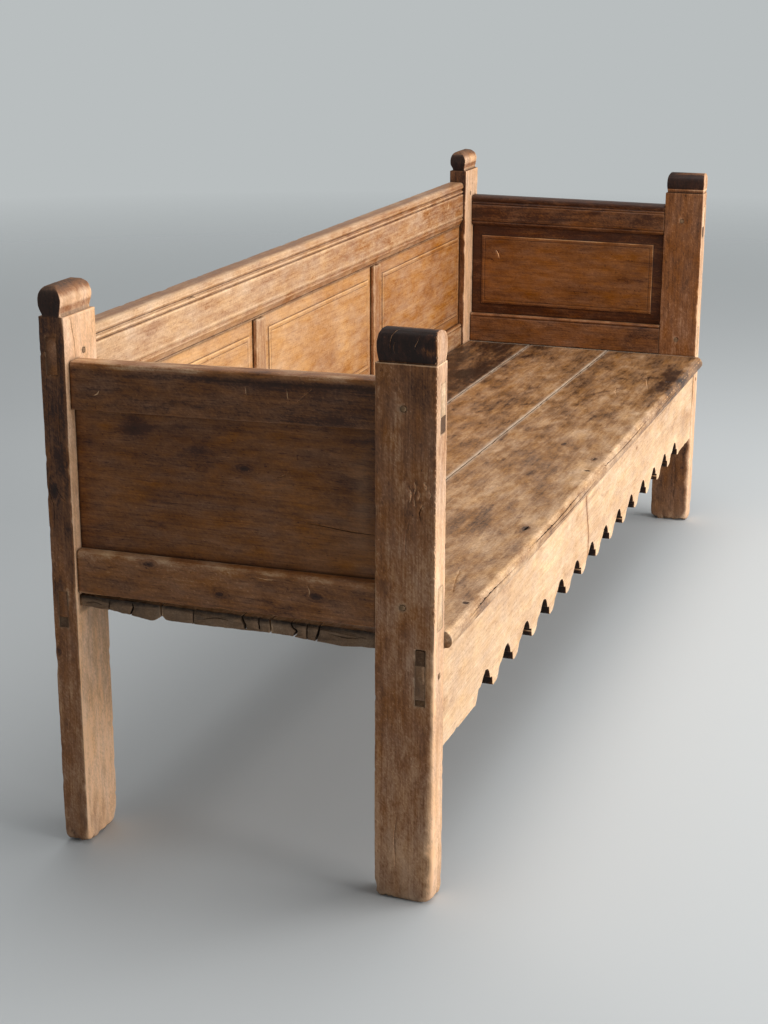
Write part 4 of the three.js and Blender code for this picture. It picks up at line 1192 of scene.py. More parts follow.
def panel_paint(points, normals, opening):
    """Honey wood, paler where it looks to the front and darker towards the far end, as painted light
    and shade.
    """
    x, _, height = points.T
    # front faces painted paler, less so towards the far end: painted light and shade
    tone = 0.3 + (0.5 - 0.3 * x / LENGTH) * front_of(normals)
    fillet, line = field_lines(from_frame(x, height, opening), normals[:, 1] < -0.3)
    # a pale fillet round the field: a painted highlight
    tone += 0.07 * wander(points, (90, 60, 160), 25) + 0.12 * fillet
    return {"tone": tone, "groove": 0.7 * line}


class BENCH_OT_back_panels(bpy.types.Operator):
    """Makes the three fielded panels of the back"""

    bl_idname = "bench.back_panels"
    bl_label = "Panels of the back"

    def execute(self, context):
        for i, side in enumerate(THIRDS):
            node = f"back_panel_{side}"
            low, high = box(node)
            opening = (
                (low[0] + PANEL_SIDE, high[0] - PANEL_SIDE), (low[2] + PANEL_END, high[2] - PANEL_END),
            )
            face = high[1] - GROOVE
            panel(
                f"{side}_back_panel", node, opening, (71 + 3 * i, 81 + i), 0, (60, 40),
                partial(panel_paint, opening=opening),
                lambda along, up, ahead: np.column_stack([along, face - ahead, up]),
            )
        return {"FINISHED"}


# Arms

TOP_RAIL_FACE, BOTTOM_RAIL_FACE, ARM_PANEL_FACE = 11, 5.5, 35  # distance from the outer face
ARM_MIDDLE = 700  # height between the bottom rails and the top rails
RUBBED_HEIGHT = 527  # where the bottom rails' upper arrises are rubbed
PALE_BELOW = 836  # height under which the top rails are paler
ARM_PANEL_STAINS = [
    ((25, 510, 742), (90, 22, 20), -0.22),
    ((25, 440, 620), (90, 60, 40), -0.08),
    ((25, 350, 640), (90, 60, 20), -0.06),
    ((25, 220, 560), (90, 160, 40), 0.07),
    ((25, 130, 660), (90, 12, 90), 0.07),
]
ARM_PANEL_DRY = [((25, 126, 650), (90, 14, 90), 0.35)]


def climb(y, rise):
    """How much a line that rises to the front has risen at y."""
    return rise * (BACK_POST_FRONT - y) / (BACK_POST_FRONT - FRONT_POST[1])


def arm_rail_paint(points, normals):
    """Dark top rails, the near one with a painted highlight along its crown; redder bottom rails with
    rubbed upper arrises; pale tenon ends.
    """
    x, y, height = points.T
    near = x < LENGTH / 2
    upper = ramped(height - ARM_MIDDLE, 20)
    rise = ARM_RISES["left"][1]
    below = box("arm_top_rail_left")[1][2] - rise + climb(y, rise) - height
    tone = 0.39 - 0.2 * upper + 0.05 * wander(points, (60, 160, 30), 35) - 0.06 * (1 - near)
    rubbed = closed_in(height, RUBBED_HEIGHT, 9) * (0.6 + 0.8 * wander(points, 20, 36))
    tone += 0.24 * np.clip(rubbed, 0, 1) * (1 - upper)
    tone += 0.1 * upper * ramped(PALE_BELOW - height, 16)
    # a pale band along the near top rail's crown: a painted highlight
    crown_highlight = upper * near * np.clip(2.2 - below / 6, 0, 1)
    tone += 0.3 * crown_highlight * (1 + 0.6 * wander(points, (9, 40, 9), 37))
    line = upper * closed_in(below, 15, 2.2, 1.3) * (y < 380) * (x < 20)
    end = y < 3
    across = np.abs(normals[:, 1]) * (y > 3)
    return {
        "tone": np.where(end, 0.6, tone), "clean": 0.85 * end,
        "endgrain": end_grain(across), "groove": 0.9 * line,
    }


def arm_panel_paint(points, normals, opening, rises):
    """Mid-brown; stained outside; inside, a bevel darkened as painted shade round a field whose fillet
    is a painted highlight, strongest on its lit sides.
    """
    tone = 0.32 + 0.05 * wander(points, (60, 140, 60), 37) + stained(points, ARM_PANEL_STAINS)
    (_, (sill, head)), (low_rise, top_rise) = opening, rises
    slant = climb(points[:, 1], 1) * (top_rise - low_rise) / (head - sill)
    up = (points[:, 2] - climb(points[:, 1], low_rise) + slant * sill) / (1 + slant)
    inside = normals[:, 0] * np.where(points[:, 0] < LENGTH / 2, 1, -1) > 0.3
    away = from_frame(points[:, 1], up, opening)
    fillet, line = field_lines(away, inside)
    # the fillet's sides that face the window get a stronger painted highlight
    lit = (points[:, 1] < FRONT_POST[1] + MARGIN + 4) | (up > head - MARGIN - 4)
    rubbed = np.where(lit, 0.42, 0.1) * np.clip(0.8 + wander(points, 30, 38), 0, 1.3)
    # the bevel inside painted darker: painted shade
    tone += inside * np.where(away > MARGIN + 3, 0.03, -0.13)
    return {
        "tone": tone + rubbed * fillet, "dry": stained(points, ARM_PANEL_DRY), "groove": 0.75 * line,
    }


class BENCH_OT_arms(bpy.types.Operator):
    """Makes the rails and panels of both arms"""

    bl_idname = "bench.arms"
    bl_label = "Arms"

    def execute(self, context):
        for side in SIDES:
            seed = 90 + 10 * len(side)
            rises = ARM_RISES[side]
            inward_from = (lambda x: x) if side == "left" else (lambda x: LENGTH - x)
            inside = lambda depth: inward_from(FRONT_POST[0] - depth)
            edges = []
            for level, rise, face, rail_seed, share, moulded in (
                ("top", rises[1], TOP_RAIL_FACE, seed, 0.8, lambda foot, top: [
                    *moulding(ARM_EDGE, 10, top, 25, inside),
                    *moulding(ARM_FOOT, 7, foot + 13, 13, inside),
                ]),
                ("bottom", rises[0], BOTTOM_RAIL_FACE, seed + 2, 1.0, lambda foot, top: [
                    *moulding(RAIL_BEAD, 6, top, 15, inside), (inside(0), foot),
                ]),
            ):
                node = f"arm_{level}_rail_{side}"
                low, high = box(node)
                foot, top = low[2] - min(rise, 0), high[2] - max(rise, 0)
                edges.append((foot, top))
                outer = [(face, foot), (face, top - 6), (face + 1.8, top - 1.8), (face + 6, top)]
                points = [*[(inward_from(x), z) for x, z in outer], *moulded(foot, top)]
                rings = run_of(points, stations(low[1] + 0.6, high[1] - 0.6, 5), 1, rail_seed)
                rings[..., 2] += climb(rings[..., 1], rise)
                timber(
                    f"{side}_arm_{level}_rail", node, rings, 1, "rail_wood", rail_seed + 1,
                    arm_rail_paint, share=share, moulded=True,
                )
            (head, _), (_, sill) = edges
            opening = ((FRONT_POST[1], BACK_POST_FRONT), (sill, head))

            def set_in(along, up, ahead):
                rise = rises[0] + (rises[1] - rises[0]) * (up - sill) / (head - sill)
                return np.column_stack([
                    inward_from(ARM_PANEL_FACE + ahead), along, up + climb(along, rise),
                ])

            panel(
                f"{side}_arm_panel", f"arm_panel_{side}", opening, (seed + 4, seed + 5), 1, (40, 60),
                partial(arm_panel_paint, opening=opening, rises=rises), set_in,
            )
        return {"FINISHED"}


# Seat

NOSING_SHARES = [
    (1, 0), (0.8, 0.02), (0.62, 0.06), (0.36, 0.17), (0.16, 0.3), (0.05, 0.45), (0, 0.62),
    (0.03, 0.75), (0.08, 0.84), (0.24, 0.93), (0.57, 1),
]
# Heights above the planks' sawn underside along their near end, from the front to the back
UNDERSIDE = (
    (112, 3), (158, 0), (192, 2), (231, 4), (243, 6), (291, 6), (330, 5), (400, 4), (460, 4),
    (468, 11), (474, 5), (485, -0.5), (530, 6), (560, 9), (616, 11),
)
SEAT_STAINS = [
    ((1850, 10, SEAT), (190, 30, 60), -0.3),
    ((560, 130, SEAT), (170, 40, 60), -0.18),
    ((1000, 90, SEAT), (140, 34, 60), -0.14),
]
# Tones along the three planks from the left end to the right, as (places, tones); they fall to the
# right and on the back plank as painted shade
FRONT_TONES = (0, 600, 1500, 2000, 2230), (0.64, 0.56, 0.5, 0.4, 0.34)
MIDDLE_TONES = (0, 700, 1500, 2230), (0.58, 0.5, 0.46, 0.36)
BACK_TONES = (0, 700, 1500, 2230), (0.42, 0.32, 0.2, 0.16)
NEAR_END, NOSING_END = 60, 140  # how far along the planks' and the nosing's near ends reach


def joint_at(places, name, side):
    """Where the edge of a plank stands beside a joint that runs askew."""
    left, right = PLANK_JOINTS[name]
    return left + (right - left) * places / LENGTH + side * PLANK_GAP / 2


def seat_paint(points, normals):
    """Paler near the left end, darker at the back and the far end as painted shade; dust along every
    joint.
    """
    x, y, height = points.T
    front, back = joint_at(x, "front", 0), joint_at(x, "back", 0)
    # darker towards the far end and on the back plank: painted shade
    rows = [np.interp(x, *tones) for tones in (FRONT_TONES, MIDDLE_TONES, BACK_TONES)]
    tone = np.where(y < front, rows[0], np.where(y < back, rows[1], rows[2]))
    tone = tone + 0.08 * wander(points, (220, 40, 40), 45)
    tone += 0.1 * wander(points, (60, 26, 40), 47) + 0.07 * wander(points, (22, 12, 40), 48)
    # a paler band along the nosing's top: rubbed wear and a painted highlight
    rubbed = closed_in(y, -6, 9) * ramped(height - SEAT + 12, 8)
    tone += rubbed * (0.12 + 0.14 * wander(points, (40, 14, 14), 49))
    tone += stained(points, SEAT_STAINS)
    # the nosing's lower part painted darker: painted shade under it
    tone -= 0.1 * ramped(SEAT - 14 - height, 10)
    near = np.minimum(np.abs(y - front), np.abs(y - back))
    near = np.minimum(near, np.clip(LENGTH - FRONT_POST[0] - x, 0, None))
    dust = closed_in(near, 0, 3.4, 1.9) * ramped(height - SEAT + 16, 5)
    dust *= 0.75 + 0.25 * wander(points, 30, 46)
    before = (y < 2) & (x < NOSING_END)
    end = np.clip(np.abs(normals[:, 0]) * 2 - 0.8, 0, 1) * ((x < NEAR_END) | before)
    dry = np.maximum(end, 0.6 * np.clip(1 - x / 22, 0, 1))
    # a dark line along the planks' near end under the arm's bottom rail: dirt and painted shadow in the
    # gap
    gap_dirt_and_shade = (x < 14) * ramped(height - SEAT + 8, 3)
    # the nosing's near end painted nearly black, in its dark line and in its tone of 0.06 below:
    # painted shade
    shaded_nosing_end = 0.7 * end * (y < 0) * (height > SEAT - 22)
    return {
        "tone": tone * (1 - end) + np.where(y < 0, 0.06, 0.46) * end, "dry": dry * (y > 0),
        "groove": np.maximum(gap_dirt_and_shade, shaded_nosing_end), "dust": dust * (1 - end) * (x > 50),
        "clean": 0.6 * (y < 0) * (1 - end) * ramped(SEAT - 6 - height, 6),
    }


def ragged_ends(rings):
    """Rings of a plank whose underside and ends are broken as the near end shows."""
    points = rings.reshape(-1, 3).copy()
    x, y, height = points.T
    under = ramped(SEAT - 8 - height, 16)
    low = np.interp(y, *zip(*UNDERSIDE))
    for far in (0, 1):
        away = x - 8 if not far else LENGTH - 8 - x
        rough = 1.2 + wander(points * (0, 1, 1), 11, 61 + far) + 0.6 * wander(points * (0, 1, 1), 4, 63)
        points[:, 0] += (1 - 2 * far) * np.clip(rough, 0, None) * 1.6 * np.exp(-away / 10)
        points[:, 2] += under * low * np.exp(-away / 130)
    return points.reshape(rings.shape)


class BENCH_OT_seat(bpy.types.Operator):
    """Makes the three planks of the seat"""

    bl_idname = "bench.seat"
    bl_label = "Seat planks"

    def execute(self, context):
        low, high = box("seat_plank_middle")
        places = stations(low[0] + 0.5, high[0] - 0.5, 7)
        level = lambda values, height: np.stack([values, np.full(len(places), height)], 1)
        square = lambda values: [level(values, SEAT - PLANK_DEPTH), level(values, SEAT)]
        edge = -(NOSING[0] + (NOSING[1] - NOSING[0]) * places / LENGTH) + BACK_OFF
        nose = [
            level(edge + behind * NOSING_DEPTH, SEAT - down * PLANK_DEPTH)
            for behind, down in reversed(NOSING_SHARES)
        ]
        rear = np.full(len(places), box("seat_plank_back")[1][1])
        for name, front, back, seed, dents in (
            ("front", nose, joint_at(places, "front", -1), 201, 160),
            ("middle", square(joint_at(places, "front", 1)), joint_at(places, "back", -1), 204, 120),
            ("back", square(joint_at(places, "back", 1)), rear, 207, 80),
        ):
            corners = np.stack([*front, *reversed(square(back))], axis=1)
            radii = arrises(places, corners.shape[1], seed)
            timber(
                f"{name}_plank", f"seat_plank_{name}", laid(rounded(corners, radii, 6), places, 0),
                0, "seat_wood", seed + 1, seat_paint, dents=dents, pith=(40, 80), ends=ragged_ends,
            )
        return {"FINISHED"}


# Apron

# One notch as (across, up) shares of the pitch and of the notch's height
NOTCH_SHARES = [
    (-0.55, -0.05), (-0.496, 0.01), (-0.449, 0.15), (-0.418, 0.33), (-0.364, 0.46),
    (-0.294, 0.54), (-0.256, 0.63), (-0.209, 0.75), (-0.155, 0.89), (-0.093, 0.98), (-0.023, 1),
    (0.046, 0.93), (0.097, 0.78), (0.132, 0.6), (0.151, 0.44), (0.194, 0.39), (0.24, 0.38),
    (0.263, 0.26), (0.267, 0.08), (0.287, -0.05), (0.364, -0.09), (0.45, -0.05),
]
NOTCH_LEAST = -0.1  # share of the notch's height at the foot of its curve
NOTCH_SPAN = 1.15
NOTCH_FADE = 110  # height over which the notches' lift fades out in the board
NOTCHED_BELOW = 335  # height up to which the notches' insides are painted dark, as painted shade
CRACK_DARKENING = (262, 308, 346, 392, 436), (1038, 1040, 1026, 1008, 1004)  # heights and places of a darker band along the apron's crack


def new_tree(name, geometry, sizes):
    """A geometry nodes tree with named inputs; gives the tree and its inputs."""
    tree = bpy.data.node_groups.new(name, "GeometryNodeTree")
    face = tree.interface
    face.new_socket(geometry, in_out="INPUT", socket_type="NodeSocketGeometry")
    for label, value in sizes.items():
        face.new_socket(label, in_out="INPUT", socket_type="NodeSocketFloat").default_value = value
    face.new_socket("Geometry", in_out="OUTPUT", socket_type="NodeSocketGeometry")
    return tree, add(tree, "NodeGroupInput").outputs


def finish_tree(tree, geometry, slot):
    """Ends a tree in real geometry with its finish."""
    real = add(tree, "GeometryNodeRealizeInstances", {"Geometry": geometry}).outputs[0]
    finish = bpy.data.materials[FINISHES[slot]]
    done = add(tree, "GeometryNodeSetMaterial", {"Geometry": real, "Material": finish}).outputs[0]
    add(tree, "NodeGroupOutput", {0: done})
    return tree


def named(tree, name, kind):
    """Output of a node that reads a vertex attribute."""
    return add(
        tree, "GeometryNodeInputNamedAttribute", {"Name": name}, data_type=kind,
    ).outputs[0]


def scallop_tree():
    """Geometry nodes that lift a board's lower edge into a row of notches."""
    tree, given = new_tree("Scalloped edge", "Board", {
        "Pitch": NOTCH_PITCH * MM, "First notch": 0.0, "Notch height": NOTCH_HEIGHT * MM,
        "Notches": float(NOTCH_COUNT), "Unevenness": 0.07, "Seed": 7.0,
    })
    value = partial(calculate, tree)
    position = add(tree, "GeometryNodeInputPosition").outputs[0]
    x = add(tree, "ShaderNodeSeparateXYZ", {0: position}).outputs[0]
    along = value("DIVIDE", value("SUBTRACT", x, given["First notch"]), given["Pitch"])
    shifted = value("ADD", along, -NOTCH_SHARES[0][0])
    number = value("FLOOR", shifted)
    points = [
        (across - NOTCH_SHARES[0][0], (up - NOTCH_LEAST) / NOTCH_SPAN)
        for across, up in NOTCH_SHARES
    ]
    share = value("FRACT", shifted)
    curve = add(tree, "ShaderNodeFloatCurve", {"Value": share}, points=points).outputs[0]
    height = value("ADD", value("MULTIPLY", curve, NOTCH_SPAN), NOTCH_LEAST)
    last = value("SUBTRACT", given["Notches"], 0.5)
    within = value(
        "MULTIPLY", value("GREATER_THAN", number, -0.5), value("LESS_THAN", number, last),
    )
    uneven = add(
        tree, "ShaderNodeTexWhiteNoise", {"W": value("ADD", number, given["Seed"])},
        noise_dimensions="1D",
    ).outputs["Value"]
    size = value("ADD", value("MULTIPLY", uneven, given["Unevenness"]), 1.0)
    lift = value("MULTIPLY", value("MULTIPLY", height, within), given["Notch height"])
    lift = value("MULTIPLY", value("MULTIPLY", lift, size), named(tree, "low_edge", "FLOAT"))
    offset = add(tree, "ShaderNodeCombineXYZ", {"Z": lift}).outputs[0]
    moved = add(
        tree, "GeometryNodeSetPosition", {"Geometry": given["Board"], "Offset": offset},
    ).outputs[0]
    return finish_tree(tree, moved, "rail_wood")


def run_tree(made, tree, values):
    """Runs a tree on an object and keeps what it makes as the object's plain mesh."""
    modifier = made.modifiers.new(tree.name, "NODES")
    modifier.node_group = tree
    for socket in tree.interface.items_tree:
        if socket.in_out == "INPUT" and socket.name in values:
            modifier[socket.identifier] = values[socket.name]
    settle(made)


def apron_paint(points, normals):
    """Pale in front as painted light; nearly black inside the notches and dark under the seat, as
    painted shade.
    """
    x, y, height = points.T
    front = front_of(normals)
    # faces that look to the front painted pale, the rest nearly black: painted light and shade
    tone = 0.05 + (0.75 - 0.04 * x / LENGTH) * front
    tone += 0.07 * wander(points, (180, 40, 40), 55) * front
    tone -= 0.22 * np.exp(-(((x - np.interp(height, *CRACK_DARKENING)) / 7) ** 2))
    # darker under the seat's nosing: painted shade
    tone = tone - 0.12 * ramped(height - 416, 14)
    # inside the notches painted darker still: painted shade
    within = ramped(y - box("apron")[0][1] - 3, 2) * (height < NOTCHED_BELOW)
    end = tenon_end(x)
    return {
        "tone": np.where(end, 0.4, tone), "groove": 0.85 * within * (1 - end),
        "clean": 0.85 * end, "dry": 0.8 * end,
    }


class BENCH_OT_apron(bpy.types.Operator):
    """Makes the apron with its row of scallops"""

    bl_idname = "bench.apron"
    bl_label = "Scalloped apron"

    def execute(self, context):
        low, high = box("apron")
        top = high[2]
        drop = lambda x: APRON_DROPS[0] + (APRON_DROPS[1] - APRON_DROPS[0]) * x / LENGTH
        places = stations(low[0] + 0.5, high[0] - 0.5, 2.2)
        foot, tops = top - drop(places) + 0.8, np.full(len(places), top)
        corners = np.stack([
            np.stack([np.full(len(places), y), z], 1)
            for y, z in ((low[1], foot), (high[1], foot), (high[1], tops), (low[1], tops))
        ], axis=1)
        rings = laid(rounded(corners, arrises(places, 4, 301), 9), places, 0)
        vertices, faces = skinned(capped(worn_down(rings, 0, 302, 0.8, 90)))
        made = linked("scalloped_apron", vertices, faces)
        up = vertices[:, 2] - (top - drop(vertices[:, 0]))
        write(made.data, "low_edge", "FLOAT", np.clip(1 - up / NOTCH_FADE, 0, 1))
        run_tree(made, scallop_tree(), {
            "First notch": float(FIRST_NOTCH * MM + ORIGIN[0]),
            "Pitch": NOTCH_PITCH * MM,
            "Notch height": NOTCH_HEIGHT * MM,
        })
        combined(made, solid_of("apron"), "INTERSECT")
        dress(made, ["apron"], "rail_wood", 0, 305, apron_paint, pith=(40, 90))
        return {"FINISHED"}


# Bearers, wedges, pegs and nails

# Turned shapes as (radius, height) shares
PEG_PROFILE = [(0.86, 0), (0.98, 0.02), (0.98, 0.96), (0.9, 0.985), (0.6, 1.0)]
NAIL_PROFILE = [(0.16, 0), (0.45, 0.2), (0.47, 0.95), (0.94, 0.967), (0.98, 0.985), (0.55, 0.998)]
PEG_RADIUS, NAIL_RADIUS = 4.5, 4.4
# Each kind of peg with the axis it lies along and the way it looks, or 0 for outwards
PEGS = {
    "arm_top": (0, 0), "arm_bottom": (0, 0), "apron": (1, -1), "crest": (1, 1),
    "bottom_rail": (1, 1),
}


class BENCH_OT_bearers(bpy.types.Operator):
    """Makes the sawn cross bearers under the seat"""

    bl_idname = "bench.bearers"
    bl_label = "Cross bearers"

    def execute(self, context):
        for i, side in enumerate(THIRDS):
            bar(
                f"{side}_bearer", f"cross_bearer_{side}", 1, "bearer_wood", (401 + i, 411 + i), 6,
                share=1.2, dents=30,
            )
        return {"FINISHED"}


class BENCH_OT_wedges(bpy.types.Operator):
    """Makes the wedges beside the through tenons"""

    bl_idname = "bench.wedges"
    bl_label = "Wedges"

    def execute(self, context):
        kinds = (
            ("apron_wedge_lower", 0), ("apron_wedge_upper", 0), ("back_wedge", 0), ("arm_wedge", 1),
        )
        for i, (side, (kind, axis)) in enumerate(product(SIDES, kinds)):
            seed = 435 + 5 * i
            bar(
                f"worn_{kind}_{side}", f"{kind}_{side}", axis, "peg_wood", (seed, seed + 1), 3,
                2.5, 0.8, share=0.5, dents=6, pith=(5, 14),
            )
        return {"FINISHED"}


def studs_tree(name, slot, shape):
    """Geometry nodes that set a shape, drawn along z, on every point given."""
    tree, given = new_tree(name, "Points", {"Radius": PEG_RADIUS * MM})
    info = add(tree, "GeometryNodeObjectInfo", {"Object": shape, "As Instance": True})
    cloud = add(tree, "GeometryNodeMeshToPoints", {"Mesh": given["Points"]}).outputs[0]
    way = add(
        tree, "FunctionNodeAlignRotationToVector", {"Vector": named(tree, "way", "FLOAT_VECTOR")},
        axis="Z",
    ).outputs[0]
    chance = add(
        tree, "FunctionNodeRandomValue", {"Min": 0.0, "Max": 6.28, "Seed": 3}, data_type="FLOAT",
    ).outputs[1]
    spin = add(tree, "FunctionNodeAxisAngleToRotation", {"Axis": (0, 0, 1), "Angle": chance})
    turned = add(
        tree, "FunctionNodeRotateRotation", {0: way, 1: spin.outputs[0]}, rotation_space="LOCAL",
    ).outputs[0]
    size = add(
        tree, "ShaderNodeCombineXYZ",
        {0: given["Radius"], 1: given["Radius"], 2: named(tree, "length", "FLOAT")},
    ).outputs[0]
    studs = add(
        tree, "GeometryNodeInstanceOnPoints",
        {"Points": cloud, "Instance": info.outputs["Geometry"], "Rotation": turned, "Scale": size},
    ).outputs[0]
    return finish_tree(tree, studs, slot)


def stud_shape(name, profile, sides, seed, uneven):
    """A turned shape of unit radius and unit length along z, its facets a little uneven."""
    rng = np.random.default_rng(seed)
    turn = np.arange(sides) * 2 * math.pi / sides
    out = 1 - uneven * rng.random(sides)
    rings = np.array([
        np.column_stack([radius * out * np.cos(turn), radius * out * np.sin(turn), np.full(sides, up)])
        for radius, up in profile
    ])
    vertices, faces = skinned(rings)
    mesh = bpy.data.meshes.new(name)
    mesh.from_pydata(vertices.tolist(), [], faces)
    return placed(name, mesh)


def stud_paint(points, normals):
    """Rubbed end grain, cleaner than the joint round it."""
    return {"tone": 0.62, "clean": 0.8}


def studs(name, nodes, places, radius, shape, slot, axis):
    """One piece made of studs at places, each (foot, way, length) in metres."""
    mesh = bpy.data.meshes.new(name)
    mesh.from_pydata([foot for foot, _, _ in places], [], [])
    write(mesh, "way", "FLOAT_VECTOR", np.array([way for _, way, _ in places]))
    write(mesh, "length", "FLOAT", np.array([length for _, _, length in places]))
    made = placed(name, mesh)
    run_tree(made, studs_tree(name, slot, shape), {"Radius": radius * MM})
    bpy.data.objects.remove(shape)
    dress(made, nodes, slot, axis, 500, stud_paint, pith=(2, 4))


class BENCH_OT_pegs(bpy.types.Operator):
    """Makes the pegs through the posts"""

    bl_idname = "bench.pegs"
    bl_label = "Pegs"

    def execute(self, context):
        for kind, (axis, looks) in PEGS.items():
            nodes = [f"peg_{kind}_{side}" for side in SIDES]
            places = []
            for node, outward in zip(nodes, (-1, 1)):
                low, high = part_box(node)
                foot, way = (low + high) / 2, Vector((0, 0, 0))
                way[axis] = looks or outward
                foot[axis] = low[axis] if way[axis] > 0 else high[axis]
                places.append((tuple(foot), tuple(way), high[axis] - low[axis]))
            shape = stud_shape(f"{kind}_peg_shape", PEG_PROFILE, 14, 7, 0.08)
            studs(f"pegs_{kind}", nodes, places, PEG_RADIUS, shape, "peg_wood", axis)
        return {"FINISHED"}


class BENCH_OT_nails(bpy.types.Operator):
    """Makes the forged nails in the seat's front edge"""

    bl_idname = "bench.nails"
    bl_label = "Nails"

    def execute(self, context):
        nodes = [f"seat_nail_{i}" for i in (1, 2, 3)]
        places = []
        for node in nodes:
            low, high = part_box(node)
            middle = (low + high) / 2
            places.append(((middle.x, middle.y, low.z), (0, 0, 1), high.z - low.z))
        shape = stud_shape("nail_shape", NAIL_PROFILE, 9, 5, 0.16)
        studs("nails", nodes, places, NAIL_RADIUS, shape, "iron", 2)
        return {"FINISHED"}


# Finishes

class Wood:
    """What sets one finish apart: the growth rings' width in mm, gloss, dryness and contrast."""

    def __init__(self, slot, rings=4.2, gloss=0.42, dryness=0.0, contrast=1.0):
        self.slot, self.rings, self.gloss = slot, rings, gloss
        self.dryness, self.contrast = dryness, contrast


WOODS = [
    # smoked wax over a strong figure, dull and a little raised to the eye
    Wood("post_wood", gloss=0.5, dryness=0.3, contrast=1.25),
    # honey brown with a soft sheen and pale, rubbed arrises
    Wood("rail_wood", gloss=0.46),
    # warm and even, with wide rings
    Wood("panel_wood", rings=6.0, gloss=0.42, contrast=0.75),
    # polished by use into light and dark patches, the glossiest wood here
    Wood("seat_wood", rings=5.0, gloss=0.36, contrast=1.6),
    # dull, fibrous and never waxed
    Wood("bearer_wood", gloss=0.8, dryness=1.0),
    # tight end grain that swallows the light
    Wood("peg_wood", rings=1.6, gloss=0.7, dryness=0.6),
]


